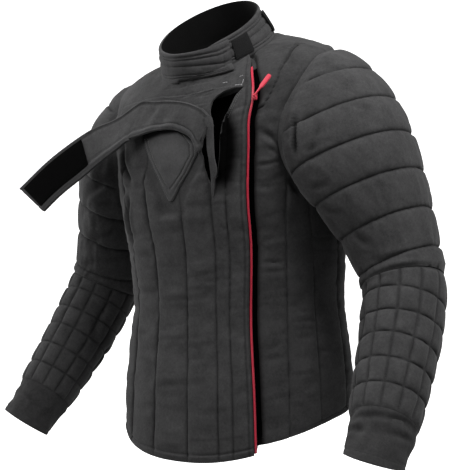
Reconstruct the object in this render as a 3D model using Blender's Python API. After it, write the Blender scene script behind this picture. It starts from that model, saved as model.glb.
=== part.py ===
"""Quilted fencing jacket, filled out as when it is worn.

Metres, +Z up. The wearer faces -Y and the wearer's left is +X. The origin is the middle of the neckline,
where the wearer's neck and shoulders carry the jacket.
"""

import math

import bmesh
import bpy
import mathutils
import numpy as np

# Cloth
WALL = 0.0035
SEAM_GAP = 0.0003
BODY_PUFF = 0.0042
SLEEVE_PUFF = 0.0050
GRID_PUFF = 0.0032
COLLAR_PUFF = 0.0012

# Body: one ring of cloth for each row, measured on the stitch lines. Heights at the front, side and back, half
# width, depth in front of and behind the ring's middle, the middle's place fore and aft, and squareness.
BODY_RINGS = np.array([
    # z_front  z_side  z_back  half_w  front_d  back_d  mid_y  square
    (-0.637, -0.568, -0.546, 0.197, 0.148, 0.144, 0.046, 2.30),  # hem
    (-0.540, -0.500, -0.485, 0.193, 0.145, 0.143, 0.046, 2.30),  # hip
    (-0.405, -0.390, -0.385, 0.183, 0.138, 0.134, 0.046, 2.25),  # waist
    (-0.330, -0.325, -0.320, 0.185, 0.142, 0.136, 0.043, 2.30),  # ribs
    (-0.255, -0.250, -0.245, 0.190, 0.148, 0.142, 0.036, 2.35),  # underarm
    (-0.190, -0.175, -0.170, 0.196, 0.148, 0.144, 0.029, 2.35),  # chest
    (-0.140, -0.095, -0.085, 0.199, 0.138, 0.136, 0.021, 2.35),  # shoulder blades
    (-0.102, -0.019, 0.002, 0.192, 0.122, 0.116, 0.014, 2.30),  # shoulder point
    (-0.077, 0.003, 0.036, 0.142, 0.108, 0.104, 0.006, 2.15),  # mid shoulder
    (-0.053, 0.006, 0.055, 0.090, 0.096, 0.092, 0.000, 2.00),  # neckline
])
SIDE_STEPS = np.hypot(np.diff(BODY_RINGS[:, 3]), np.diff(BODY_RINGS[:, 1]))
BODY_UP = np.concatenate([[0.0], np.cumsum(SIDE_STEPS)])
UNDERARM_UP, SHOULDER_UP, NECK_UP = BODY_UP[4], BODY_UP[7], BODY_UP[9]

# Armhole, as a loop on the body: angles are turned from the front round to the side, in degrees
ARMHOLE_TURN = 97.0
ARMHOLE_FRONT_REACH = 43.0
ARMHOLE_BACK_REACH = 40.0
ARMHOLE_CORNER = 58.0
ARMHOLE_MIDDLE = (UNDERARM_UP + SHOULDER_UP) / 2
ARMHOLE_HALF = (SHOULDER_UP - UNDERARM_UP) / 2
CORNER_DROP = ARMHOLE_HALF * math.cos(math.radians(ARMHOLE_CORNER))
LOW_CORNER_UP, HIGH_CORNER_UP = ARMHOLE_MIDDLE - CORNER_DROP, ARMHOLE_MIDDLE + CORNER_DROP
SEAM_TURN = 0.06

# Zip line, on the wearer's left front
ZIP_UP = np.array([0.0, 0.05, 0.15, 0.27, 0.33, 0.42, 0.47, 0.51, 0.552, 0.588, NECK_UP])
ZIP_TURN = np.array([37.8, 37.2, 35.8, 37.2, 36.8, 37.6, 37.2, 38.0, 40.8, 47.8, 57.5])
HEM_RISE = 0.010

# Upright stitch lines: their angles at the hem and at the neckline, and the side seams between the pieces
SIDE_SEAM_TURN, SHOULDER_SEAM_TURN = 100.0, 95.0
FRONT_SIDE, FRONT_TOP = SIDE_SEAM_TURN - SEAM_TURN, SHOULDER_SEAM_TURN - SEAM_TURN
BACK_SIDE, BACK_TOP = SIDE_SEAM_TURN + SEAM_TURN, SHOULDER_SEAM_TURN + SEAM_TURN
LEFT_FRONT_LINES = ((37.8, 57.0, 78.0, FRONT_SIDE), (57.5, 75.0, 86.0, FRONT_TOP))
RIGHT_FRONT_LINES = (
    (-FRONT_SIDE, -78.0, -57.0, -35.0, -13.0, 4.0, 19.5, 27.0, 37.8),
    (-FRONT_TOP, -86.0, -77.0, -50.0, -22.0, 4.0, 30.0, 42.0, 57.5),
)
BACK_LINES = (
    (BACK_SIDE, 120.0, 140.0, 160.0, 180.0, 200.0, 220.0, 240.0, 360 - BACK_SIDE),
    (BACK_TOP, 103.0, 111.0, 145.0, 180.0, 215.0, 249.0, 257.0, 360 - BACK_TOP),
)
CHANNEL_STEPS = (0.0, 0.16, 0.5, 0.84)
NARROW_CHANNEL = 12.0
LOW_ROWS, MID_ROWS, HIGH_ROWS = 10, 4, 4

# Sleeve of the wearer's left; the right one is its mirror image. Rings below the elbow and above it.
SLEEVE_RINGS = np.array([
    # x      y       z      half_across  half_deep
    (0.280, 0.046, -0.300, 0.068, 0.074),  # above the elbow
    (0.310, 0.050, -0.365, 0.059, 0.065),  # elbow seam
    (0.3245, 0.020, -0.430, 0.057, 0.062),
    (0.336, -0.025, -0.500, 0.052, 0.056),
    (0.346, -0.068, -0.563, 0.046, 0.050),  # cuff seam
    (0.350, -0.087, -0.588, 0.042, 0.046),
    (0.353, -0.106, -0.611, 0.041, 0.045),  # cuff edge
])
RING_STEPS = np.linalg.norm(np.diff(SLEEVE_RINGS[:, :3], axis=0), axis=1)
ARM_DOWN = np.concatenate([[0.0], np.cumsum(RING_STEPS)])
ELBOW_DOWN, CUFF_DOWN, EDGE_DOWN = ARM_DOWN[1], ARM_DOWN[4], ARM_DOWN[6]
SHOULDER_POINT = np.array([0.190, 0.030, -0.090])
ELBOW_GAP = 0.0018
CHANNEL_HEIGHT = 0.058
LOWEST_CHANNEL = 0.029
ARM_CHANNELS = 6
FOREARM_ROWS = 6
FOREARM_COLUMNS = 12


def spline(knots, values, at):
    """Smooth curve through values at knots, read at the places `at`."""
    knots, values = np.asarray(knots, float), np.asarray(values, float)
    slopes = np.gradient(values, knots, axis=0)
    at = np.clip(np.asarray(at, float), knots[0], knots[-1])
    k = np.clip(np.searchsorted(knots, at, side="right") - 1, 0, len(knots) - 2)
    step = knots[k + 1] - knots[k]
    f = (at - knots[k]) / step
    if values.ndim > 1:
        f, step = f[..., None], step[..., None]
    rise = f * f * (3 - 2 * f)
    lead = f * (1 - f) ** 2 * step
    trail = -f * f * (1 - f) * step
    return values[k] * (1 - rise) + values[k + 1] * rise + slopes[k] * lead + slopes[k + 1] * trail


def unit(vectors):
    return vectors / np.maximum(np.linalg.norm(vectors, axis=-1, keepdims=True), 1e-12)


def smooth(f):
    f = np.clip(f, 0.0, 1.0)
    return f * f * (3 - 2 * f)


def normals(surface, a, b, step_a, step_b):
    """Outward directions of surface(a, b), whose a runs to the left and b up, seen from outside."""
    along_a = surface(a + step_a, b) - surface(a - step_a, b)
    along_b = surface(a, b + step_b) - surface(a, b - step_b)
    return unit(np.cross(along_a, along_b))


def body(turn, up):
    """Point of the body's cloth, turned from the front in degrees and up from the hem in metres."""
    ring = spline(BODY_UP, BODY_RINGS, up)
    z_front, z_side, z_back, half_width, front_depth, back_depth, mid_y, square = np.moveaxis(ring, -1, 0)
    cosine, sine = np.cos(np.radians(turn)), np.sin(np.radians(turn))
    power = 2 / square
    depth = np.where(cosine > 0, front_depth, back_depth)
    x = half_width * np.sign(sine) * np.abs(sine) ** power
    y = mid_y - depth * np.sign(cosine) * np.abs(cosine) ** power
    z = z_side + (z_front - z_back) / 2 * cosine + ((z_front + z_back) / 2 - z_side) * cosine**2
    return np.stack([x, y, z], axis=-1)


def body_normal(turn, up):
    turn, up = np.broadcast_arrays(np.asarray(turn, float), np.asarray(up, float))
    return normals(body, turn, np.clip(up, 0.002, NECK_UP - 0.002), 1.0, 0.002)


def armhole(psi, reach, seam):
    """Turn and height of the armhole seam; psi is 0 at the underarm and 180 at the shoulder point."""
    psi = np.radians(psi)
    return ARMHOLE_TURN + seam + reach * np.sin(psi) ** 0.9, ARMHOLE_MIDDLE - ARMHOLE_HALF * np.cos(psi)


def channel_columns(hem_lines):
    """Column places of a panel: four to a channel, two to a narrow one, whole numbers on the stitch lines."""
    columns = []
    for k, (start, end) in enumerate(zip(hem_lines, hem_lines[1:])):
        narrow = end - start < NARROW_CHANNEL
        columns += [k + f for f in (CHANNEL_STEPS[::2] if narrow else CHANNEL_STEPS)]
    return np.array(columns + [len(hem_lines) - 1.0])


class Panel:
    """Cut piece of the body between two edges, each a side seam with an armhole over it, or the zip."""

    def __init__(self, lines, left_arm, right_arm, hem_rise=0.0):
        self.hem, self.neck = (np.array(row) for row in lines)
        self.hem_rise = hem_rise
        # An arm is its number of side channels, its mirror sign, its added turn and its armhole reach
        self.left_arm, self.right_arm = left_arm, right_arm
        self.count = len(self.hem) - 1
        self.first = left_arm[0] if left_arm else 0
        self.last = self.count - (right_arm[0] if right_arm else 0)

    def arm_edge(self, arm, psi):
        _, sign, added, reach, seam = arm
        turn, up = armhole(psi, reach, seam)
        return added + sign * turn, up

    def main_edge(self, arm, column, up):
        """Turn of the main block's edge: the zip, or the stitch line that runs up into the armhole."""
        if arm is None:
            return spline(ZIP_UP, ZIP_TURN, up)
        cosine = np.clip((ARMHOLE_MIDDLE - up) / ARMHOLE_HALF, -1, 1)
        psi = np.degrees(np.arccos(cosine))
        low, _ = self.arm_edge(arm, ARMHOLE_CORNER)
        beside, _ = self.arm_edge(arm, psi)
        below = self.hem[column] + (low - self.hem[column]) * np.clip(up / LOW_CORNER_UP, 0, 1) ** 2
        rise = np.clip((up - HIGH_CORNER_UP) / (NECK_UP - HIGH_CORNER_UP), 0, 1)
        above = low + (self.neck[column] - low) * rise
        return np.where(up < LOW_CORNER_UP, below, np.where(up > HIGH_CORNER_UP, above, beside))

    def place(self, column, row):
        """Turn and height at a column and a row, both in parts of the panel's own grid."""
        column, row = np.broadcast_arrays(np.asarray(column, float), np.asarray(row, float))
        lines = np.arange(self.count + 1)
        low_row, high_row, top_row = LOW_ROWS, LOW_ROWS + MID_ROWS, LOW_ROWS + MID_ROWS + HIGH_ROWS
        up = np.interp(row, [0, low_row, high_row, top_row], [0, LOW_CORNER_UP, HIGH_CORNER_UP, NECK_UP])
        left = self.main_edge(self.left_arm, self.first, up)
        right = self.main_edge(self.right_arm, self.last, up)
        hem = np.interp(column, lines, self.hem)
        neck = np.interp(column, lines, self.neck)
        hem_share = (hem - self.hem[self.first]) / (self.hem[self.last] - self.hem[self.first])
        neck_share = (neck - self.neck[self.first]) / (self.neck[self.last] - self.neck[self.first])
        drift = smooth((up - LOW_CORNER_UP) / (NECK_UP - LOW_CORNER_UP))
        turn = left + (hem_share + (neck_share - hem_share) * drift) * (right - left)
        for arm, start, end in ((self.left_arm, self.first, 0), (self.right_arm, self.last, self.count)):
            if arm is None:
                continue
            share = np.clip((column - start) / (end - start), 0, 1)
            beside = share > 0
            below = row <= low_row
            psi = np.where(below, ARMHOLE_CORNER * (1 - share), 180 - ARMHOLE_CORNER * (1 - share))
            edge_turn, edge_up = self.arm_edge(arm, psi)
            lower, rise = row / low_row, (row - high_row) / (top_row - high_row)
            low_turn = hem + (edge_turn - hem) * lower**2
            high_turn = edge_turn + (neck - edge_turn) * rise
            side_turn = np.where(below, low_turn, high_turn)
            side_up = np.where(below, edge_up * lower, edge_up + (NECK_UP - edge_up) * rise)
            turn = np.where(beside, side_turn, turn)
            up = np.where(beside, side_up, up)
        from_start = (hem - self.hem[0]) / (self.hem[-1] - self.hem[0])
        return turn, up + self.hem_rise * (1 - smooth(up / 0.15)) * (1 - from_start)

    def blocks(self, columns):
        """Which coarse cells the panel has: all but those of the armholes."""
        rows = LOW_ROWS + MID_ROWS + HIGH_ROWS
        middles = (columns[:-2:2] + columns[2::2]) / 2
        kept = np.ones((rows // 2, len(middles)), bool)
        outside = (middles < self.first) | (middles > self.last)
        kept[LOW_ROWS // 2:(LOW_ROWS + MID_ROWS) // 2, outside] = False
        return kept


def channel_profile(f):
    """Height of a quilted channel across its width, from 0 at a stitch line to 1 at the middle."""
    return np.sin(np.pi * (f - np.floor(f))) ** 0.6


def edge_mask(blocks, around):
    """True at the fine points that lie on an edge of the piece."""
    fine = np.repeat(np.repeat(blocks, 2, axis=0), 2, axis=1)
    rows, columns = fine.shape
    if around:
        padded = np.concatenate([fine[:, -1:], fine], axis=1)
    else:
        padded = np.pad(fine, ((0, 0), (1, 1)))
    padded = np.pad(padded, ((1, 1), (0, 0)))
    corners = (padded[:-1, :-1], padded[:-1, 1:], padded[1:, :-1], padded[1:, 1:])
    whole = corners[0] & corners[1] & corners[2] & corners[3]
    return ~whole


def material(name, colour, roughness):
    found = bpy.data.materials.get(name)
    if found:
        return found
    made = bpy.data.materials.new(name)
    made.use_nodes = True
    shader = made.node_tree.nodes["Principled BSDF"]
    shader.inputs["Base Color"].default_value = (*colour, 1.0)
    shader.inputs["Roughness"].default_value = roughness
    shader.inputs["Metallic"].default_value = 0.0
    return made


def add_solid(name, points, faces, finish):
    """Object from points and faces, its faces turned outwards."""
    mesh = bpy.data.meshes.new(name)
    mesh.from_pydata([tuple(p) for p in points], [], faces)
    work = bmesh.new()
    work.from_mesh(mesh)
    loose = [v for v in work.verts if not v.link_faces]
    bmesh.ops.delete(work, geom=loose, context="VERTS")
    bmesh.ops.recalc_face_normals(work, faces=work.faces)
    work.to_mesh(mesh)
    work.free()
    mesh.shade_smooth()
    mesh.set_sharp_from_angle(angle=math.radians(50))
    mesh.materials.append(material(name + "_finish", *finish))
    thing = bpy.data.objects.new(name, mesh)
    bpy.context.scene.collection.objects.link(thing)
    return thing


def wall_solid(name, outer, inner, blocks, around, finish):
    """Closed wall between a fine outer grid and the plain inner one, which has every second point.

    blocks says which coarse cells the wall has. A wall that runs around joins its last column to its first.
    """
    rows, columns = outer.shape[:2]
    points = np.concatenate([outer.reshape(-1, 3), inner.reshape(-1, 3)])

    def out(i, j):
        return i * columns + j % columns

    def inn(i, j):
        return rows * columns + i * columns + j % columns

    faces = []
    wide = blocks.shape[1]

    def present(i, j):
        if around:
            j %= wide
        return 0 <= i < blocks.shape[0] and 0 <= j < wide and blocks[i, j]

    for i, j in zip(*np.nonzero(blocks)):
        top, left = 2 * i, 2 * j
        for a in (top, top + 1):
            for b in (left, left + 1):
                faces.append((out(a, b), out(a, b + 1), out(a + 1, b + 1)))
                faces.append((out(a, b), out(a + 1, b + 1), out(a + 1, b)))
        corners = (inn(top, left), inn(top + 2, left), inn(top + 2, left + 2), inn(top, left + 2))
        faces.append(corners[:3])
        faces.append((corners[0], corners[2], corners[3]))
        rims = (
            ((i - 1, j), (top, left), (0, 1)),
            ((i + 1, j), (top + 2, left), (0, 1)),
            ((i, j - 1), (top, left), (1, 0)),
            ((i, j + 1), (top, left + 2), (1, 0)),
        )
        for neighbour, (a, b), (down, across) in rims:
            if present(*neighbour):
                continue
            middle = (a + down, b + across)
            end = (a + 2 * down, b + 2 * across)
            faces.append((inn(a, b), out(a, b), out(*middle)))
            faces.append((inn(a, b), out(*middle), inn(*end)))
            faces.append((inn(*end), out(*middle), out(*end)))
    return add_solid(name, points, faces, finish)


CHARCOAL = ((0.055, 0.055, 0.056), 0.92)
BLACK_WEBBING = ((0.012, 0.012, 0.012), 0.8)
RED = ((0.75, 0.045, 0.085), 0.45)


FLAT_SINK = 0.0011
YOKE_FADE = 0.85


def build_panel(name, panel, level, flat):
    """Body piece: channels raised outwards, a plain inside, and level as an added height over the body.

    flat is 1 where something lies on the piece and its channels are pressed flat.
    """
    columns = channel_columns(panel.hem)
    rows = np.arange(LOW_ROWS + MID_ROWS + HIGH_ROWS + 1)
    turn, up = panel.place(columns[None, :], rows[:, None])
    blocks = panel.blocks(columns)
    lift = level(turn, up)[..., None]
    base, normal = body(turn, up), body_normal(turn, up)
    plain = flat(turn, up)
    fade = 1 - YOKE_FADE * smooth((up - HIGH_CORNER_UP) / (NECK_UP - HIGH_CORNER_UP))
    puff = BODY_PUFF * channel_profile(columns)[None, :] * ~edge_mask(blocks, False) * (1 - plain) * fade
    puff -= FLAT_SINK * plain * ~edge_mask(blocks, False)
    outer = base + normal * (lift + puff[..., None])
    inner = base + normal * (lift - WALL)
    return wall_solid(name, outer, inner, blocks, False, CHARCOAL)


def zip_side(turn, up):
    """Distance in metres from the zip line round the body, positive towards the wearer's left side."""
    return np.radians(turn - spline(ZIP_UP, ZIP_TURN, up)) * 0.15


def level_body(turn, up):
    return np.zeros_like(turn)


def nowhere_flat(turn, up):
    return np.zeros_like(turn)


def beside_zip(turn, up):
    """1 under the zip's chain, fading to 0 at a few millimetres to the wearer's left of it."""
    return smooth((0.0125 - zip_side(turn, up)) / 0.003)


RIGHT_EDGE_RISE = 0.002
LEFT_EDGE_DROP = 0.0035


def level_right_front(turn, up):
    """The right front's edge stands a little proud along the zip."""
    return RIGHT_EDGE_RISE * smooth(1 + zip_side(turn, up) / 0.03)


def level_left_front(turn, up):
    """The left front lies lower along the zip."""
    return -LEFT_EDGE_DROP * smooth(1 - zip_side(turn, up) / 0.04)


def around_arm(bottom, front, top, back, psi):
    """Smooth value round the arm through four values; psi is 0 underneath and 90 in front."""
    bottom, front, top, back = (np.asarray(v, float) for v in (bottom, front, top, back))
    psi = np.radians(psi)
    if bottom.ndim:
        psi = psi[..., None]
    mean = (bottom + front + top + back) / 4
    return (mean + (bottom - top) / 2 * np.cos(psi) + (front - back) / 2 * np.sin(psi)
            + (bottom + top - front - back) / 4 * np.cos(2 * psi))


def arm_ring(psi, down):
    """Point of the sleeve below the upper arm, `down` metres along the arm from the first ring."""
    psi, down = np.broadcast_arrays(np.asarray(psi, float), np.asarray(down, float))
    ring = spline(ARM_DOWN, SLEEVE_RINGS, down)
    ahead = spline(ARM_DOWN, SLEEVE_RINGS[:, :3], down + 0.004)
    behind = spline(ARM_DOWN, SLEEVE_RINGS[:, :3], down - 0.004)
    along = unit(ahead - behind)
    outward = np.array([1.0, 0.0, 0.3])
    outward = unit(outward - along * (along @ outward)[..., None])
    forward = np.cross(along, outward)
    psi = np.radians(psi)[..., None]
    return ring[..., :3] - outward * np.cos(psi) * ring[..., 3:4] + forward * np.sin(psi) * ring[..., 4:5]


def armhole_loop(psi):
    """Upper edge of the sleeve, just inside the armhole of the body; psi runs all round."""
    psi = np.asarray(psi, float) % 360
    front = psi <= 180
    half = np.where(front, psi, 360 - psi)
    reach = np.where(front, -(ARMHOLE_FRONT_REACH - 0.2), ARMHOLE_BACK_REACH - 0.2)
    turn = ARMHOLE_TURN + reach * np.sin(np.radians(half)) ** 0.9
    up = ARMHOLE_MIDDLE - (ARMHOLE_HALF - 0.0006) * np.cos(np.radians(half))
    return body(turn, up)


HEAD_START = ((0.10, 0.0, -0.10), (0.26, -0.10, -0.12), (0.42, 0.0, -0.10), (0.26, 0.10, -0.12))
HEAD_END = (0.15, 0.24, 0.30, 0.24)


def upper_arm(psi, s):
    """Point of the upper sleeve, s from 0 at the armhole to 1 at the elbow seam."""
    psi, s = np.broadcast_arrays(np.asarray(psi, float), np.asarray(s, float))
    start, end = armhole_loop(psi), arm_ring(psi, ELBOW_DOWN)
    below = spline(ARM_DOWN, SLEEVE_RINGS[:, :3], ELBOW_DOWN + 0.02)
    above = spline(ARM_DOWN, SLEEVE_RINGS[:, :3], ELBOW_DOWN - 0.02)
    leave = around_arm(*HEAD_START, psi)
    arrive = unit(below - above) * around_arm(*HEAD_END, psi)[..., None]
    s = s[..., None]
    rise = s * s * (3 - 2 * s)
    return (start * (1 - rise) + end * rise + leave * s * (1 - s) ** 2 - arrive * s * s * (1 - s))


ELBOW = SLEEVE_RINGS[1, :3]
UPPER_AXIS = unit(SHOULDER_POINT - ELBOW)
ARM_PSI = np.concatenate([
    np.linspace(0, ARMHOLE_CORNER, 5)[:-1],
    np.degrees(np.arccos(np.linspace(CORNER_DROP, -CORNER_DROP, 5) / ARMHOLE_HALF)),
    np.linspace(180 - ARMHOLE_CORNER, 180, 5)[1:],
])
ARM_PSI = np.concatenate([ARM_PSI, 360 - ARM_PSI[-2:0:-1]])
ROW_SQUEEZE = 0.0045


def arm_height(points):
    """Distance above the elbow along the upper arm."""
    return (points - ELBOW) @ UPPER_AXIS


def channel_heights():
    """Row heights of the upper sleeve from the shoulder down, four to a channel."""
    lines = [LOWEST_CHANNEL + CHANNEL_HEIGHT * k for k in range(ARM_CHANNELS)][::-1]
    heights = [lines[0] + CHANNEL_HEIGHT * f for f in (0.8, 0.5, 0.2)]
    for line in lines[:-1]:
        heights += [line - CHANNEL_HEIGHT * f for f in CHANNEL_STEPS]
    return np.array(heights + [lines[-1], lines[-1] / 2])


def mirrored(points, side):
    return points * np.array([side, 1.0, 1.0])


def upper_arm_rows(heights):
    """Places s down each column of the upper sleeve at the given heights, squeezed below the armhole."""
    steps = np.linspace(0, 1, 401)
    track = arm_height(upper_arm(ARM_PSI[None, :], steps[:, None]))
    rows = np.zeros((len(heights) + 2, len(ARM_PSI)))
    for j in range(len(ARM_PSI)):
        order = np.argsort(track[:, j])
        found = np.interp(heights, track[order, j], steps[order])
        for i, s in enumerate(found):
            lowest = 1 - 3 * ROW_SQUEEZE * (len(found) - i)
            rows[i + 1, j] = min(max(s, rows[i, j] + ROW_SQUEEZE), lowest)
    rows[-1] = 1.0
    return rows


def sleeve_normal(surface, a, b):
    return -normals(surface, a, b, 2.0, 0.004)


def build_upper_sleeve(name, side):
    heights = channel_heights()
    s = upper_arm_rows(heights)
    psi = np.broadcast_to(ARM_PSI[None, :], s.shape)
    points = upper_arm(psi, s)
    normal = sleeve_normal(upper_arm, psi, np.clip(s, 0.005, 0.995))
    normal[-1] = sleeve_normal(arm_ring, psi[-1], ELBOW_DOWN)
    height = arm_height(points)
    away = smooth((s - ROW_SQUEEZE * np.arange(len(s))[:, None]) / 0.03)
    puff = channel_profile((height - LOWEST_CHANNEL) / CHANNEL_HEIGHT) * away
    puff[0] = puff[-1] = 0
    outer = points + normal * (SLEEVE_PUFF * puff)[..., None]
    inner = points - normal * WALL
    blocks = np.ones(((len(s) - 1) // 2, len(ARM_PSI) // 2), bool)
    wall_solid(name, mirrored(outer, side), mirrored(inner, side), blocks, True, CHARCOAL)


def build_forearm(name, side):
    steps = np.array([0.0, 0.2, 0.8])
    row_places = np.concatenate([k + steps for k in range(FOREARM_ROWS)] + [[FOREARM_ROWS]])
    column_places = np.concatenate([k + steps for k in range(FOREARM_COLUMNS)])
    start = ELBOW_DOWN + ELBOW_GAP
    down = start + (CUFF_DOWN - start) * row_places[:, None] / FOREARM_ROWS
    psi = 360 / FOREARM_COLUMNS * column_places[None, :]
    psi, down = np.broadcast_arrays(psi, down)
    points = arm_ring(psi, down)
    normal = sleeve_normal(arm_ring, psi, down)
    puff = channel_profile(row_places)[:, None] * channel_profile(column_places)[None, :]
    puff[0] = puff[-1] = 0
    outer = points + normal * (GRID_PUFF * puff)[..., None]
    inner = points - normal * WALL
    blocks = np.ones((len(row_places) // 2, len(column_places) // 2), bool)
    wall_solid(name, mirrored(outer, side), mirrored(inner, side), blocks, True, CHARCOAL)


CUFF_ROWS = 6
CUFF_SEGMENTS = 24
CUFF_CRUMPLE = 0.004


def build_cuff(name, side):
    """Plain cuff with two soft folds where it is bunched over the wrist."""
    f = np.linspace(0, 1, CUFF_ROWS + 1)[:, None]
    psi = np.linspace(0, 360, CUFF_SEGMENTS, endpoint=False)[None, :]
    start = CUFF_DOWN + SEAM_GAP
    psi, down = np.broadcast_arrays(psi, start + (EDGE_DOWN - start) * f)
    points = arm_ring(psi, down)
    normal = sleeve_normal(arm_ring, psi, np.clip(down, 0, EDGE_DOWN - 0.005))
    fold = CUFF_CRUMPLE * np.sin(2 * np.pi * f) ** 2 * (0.6 + 0.4 * np.cos(np.radians(psi * 2)))
    outer = points + normal * fold[..., None]
    inner = points - normal * WALL
    blocks = np.ones((CUFF_ROWS // 2, CUFF_SEGMENTS // 2), bool)
    wall_solid(name, mirrored(outer, side), mirrored(inner, side), blocks, True, CHARCOAL)


def plain_sheet(name, outer, inner, finish, side=1):
    """Closed wall with no cells left out, open at its four edges."""
    blocks = np.ones((outer.shape[0] // 2, outer.shape[1] // 2), bool)
    return wall_solid(name, mirrored(outer, side), mirrored(inner, side), blocks, False, finish)


# Collar: one strip wound from under the wearer's left front, round the back and over its own start
COLLAR_START, COLLAR_END, COLLAR_END_SLANT = 22.0, 415.5, 9.0
COLLAR_LIFT_START, COLLAR_LIFT_END, COLLAR_LAP = 335.0, 374.0, 0.0066
COLLAR_RISE = 0.0008
COLLAR_TOP_WIDTH, COLLAR_TOP_DEPTH = 0.072, 0.080
COLLAR_TOP_MIDDLE = (0.0, -0.028, 0.054)
COLLAR_TILT_BACK, COLLAR_TILT_SIDE = 0.71, -0.09
COLLAR_BANDS = 5
COLLAR_COLUMNS = 40


def collar(turn, height):
    """Point of the collar's cloth, height from 0 at the neckline to 1 at its top edge."""
    turn, height = np.broadcast_arrays(np.asarray(turn, float), np.asarray(height, float))
    base = body(turn, np.full(turn.shape, NECK_UP)) + np.array([0.0, 0.0, COLLAR_RISE])
    angle = np.radians(turn)
    x = COLLAR_TOP_WIDTH * np.sin(angle)
    y = -COLLAR_TOP_DEPTH * np.cos(angle)
    top = np.stack([x, y, COLLAR_TILT_BACK * y + COLLAR_TILT_SIDE * x], axis=-1) + np.array(COLLAR_TOP_MIDDLE)
    return base + (top - base) * height[..., None]


def collar_normal(turn, height):
    """Outward direction, level at the neckline so that the collar's inner side stays above the body."""
    normal = normals(collar, np.asarray(turn, float), np.clip(height, 0.06, 0.94), 1.0, 0.05)
    normal[..., 2] *= smooth(np.asarray(height) * 3)
    return unit(normal)


def collar_lift(turn):
    return COLLAR_LAP * smooth((turn - COLLAR_LIFT_START) / (COLLAR_LIFT_END - COLLAR_LIFT_START))


def on_collar(turn, height, off):
    return collar(turn, height) + collar_normal(turn, height) * np.asarray(off)[..., None]


def build_collar():
    rows = np.linspace(0, 1, 2 * COLLAR_BANDS + 1)[:, None]
    length, height = np.broadcast_arrays(np.linspace(0, 1, COLLAR_COLUMNS + 1)[None, :], rows)
    turn = COLLAR_START + (COLLAR_END + COLLAR_END_SLANT * height - COLLAR_START) * length
    puff = COLLAR_PUFF * channel_profile(rows * COLLAR_BANDS)
    blocks = np.ones((COLLAR_BANDS, COLLAR_COLUMNS // 2), bool)
    outer = on_collar(turn, height, collar_lift(turn) + puff * ~edge_mask(blocks, False))
    inner = on_collar(turn, height, collar_lift(turn) - WALL)
    plain_sheet("collar", outer, inner, CHARCOAL)


LOOP_PATCH_TURN, LOOP_PATCH_SLANT = (67.0, 85.0), 4.0
LOOP_PATCH_HEIGHT = (0.04, 0.80)
KEEPER_TURN = (120.0, 131.0)
KEEPER_HEIGHT = (0.10, 0.92)


def patch_on_collar(name, turns, slant, heights, thick, bow, finish):
    """Small sheet lying on the collar, leaning by slant degrees and standing off its middle by bow."""
    rows = np.linspace(0, 1, 7)[:, None]
    turn, height = np.broadcast_arrays(
        np.linspace(*turns, 7)[None, :] + slant * rows, heights[0] + (heights[1] - heights[0]) * rows)
    off = COLLAR_PUFF + SEAM_GAP + bow * np.sin(np.pi * np.broadcast_to(rows, turn.shape))
    plain_sheet(name, on_collar(turn, height, off + thick), on_collar(turn, height, off), finish)


# Throat strap: its two long edges as pairs of turn and height on the body, then free of it as pairs of points
STRAP_ON_BODY = (
    # outer turn, up   inner turn, up   proud
    (20.0, 0.480, 16.8, 0.479, 0.0084),
    (18.6, 0.500, 14.6, 0.458, 0.0085),
    (15.4, 0.524, 12.2, 0.437, 0.0087),
    (10.8, 0.551, 8.6, 0.462, 0.0092),
    (4.8, 0.573, 2.4, 0.484, 0.0098),
    (-3.0, 0.585, -4.0, 0.486, 0.0105),
    (-12.0, 0.584, -11.5, 0.475, 0.0118),
    (-20.0, 0.576, -18.5, 0.465, 0.0150),
)
STRAP_IN_AIR = (
    # outer x, y, z            inner x, y, z
    (-0.114, -0.115, -0.098, -0.084, -0.132, -0.148),
    (-0.163, -0.125, -0.113, -0.130, -0.136, -0.167),
    (-0.213, -0.132, -0.135, -0.181, -0.141, -0.196),
    (-0.257, -0.138, -0.159, -0.218, -0.145, -0.217),
    (-0.325, -0.145, -0.204, -0.259, -0.150, -0.246),
)
STRAP_THICKNESS = 0.0045
STRAP_ROLL = 0.0015
STRAP_PIECES_LONG, STRAP_PIECES_WIDE = 26, 6
HOOK_PATCH_ALONG, HOOK_PATCH_ACROSS = (0.66, 0.985), (0.13, 0.88)
HOOK_THICKNESS = 0.0016


def strap_edges():
    outer, inner = [], []
    for outer_turn, outer_up, inner_turn, inner_up, proud in STRAP_ON_BODY:
        for edge, turn, up in ((outer, outer_turn, outer_up), (inner, inner_turn, inner_up)):
            edge.append(body(turn, up) + body_normal(turn, up) * proud)
    for row in STRAP_IN_AIR:
        outer.append(np.array(row[:3]))
        inner.append(np.array(row[3:]))
    return np.array(outer), np.array(inner)


def strap(along, across):
    """Point of the strap's face, along from its root to its free end, across from its inner to outer edge."""
    along, across = np.broadcast_arrays(np.asarray(along, float), np.asarray(across, float))
    outer, inner = strap_edges()
    middle = (outer + inner) / 2
    length = np.concatenate([[0], np.cumsum(np.linalg.norm(np.diff(middle, axis=0), axis=1))])
    knots = length / length[-1]
    low, high = spline(knots, inner, along), spline(knots, outer, along)
    return low + (high - low) * across[..., None]


def strap_normal(along, across):
    return -normals(strap, along, across, 0.01, 0.05)


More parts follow.
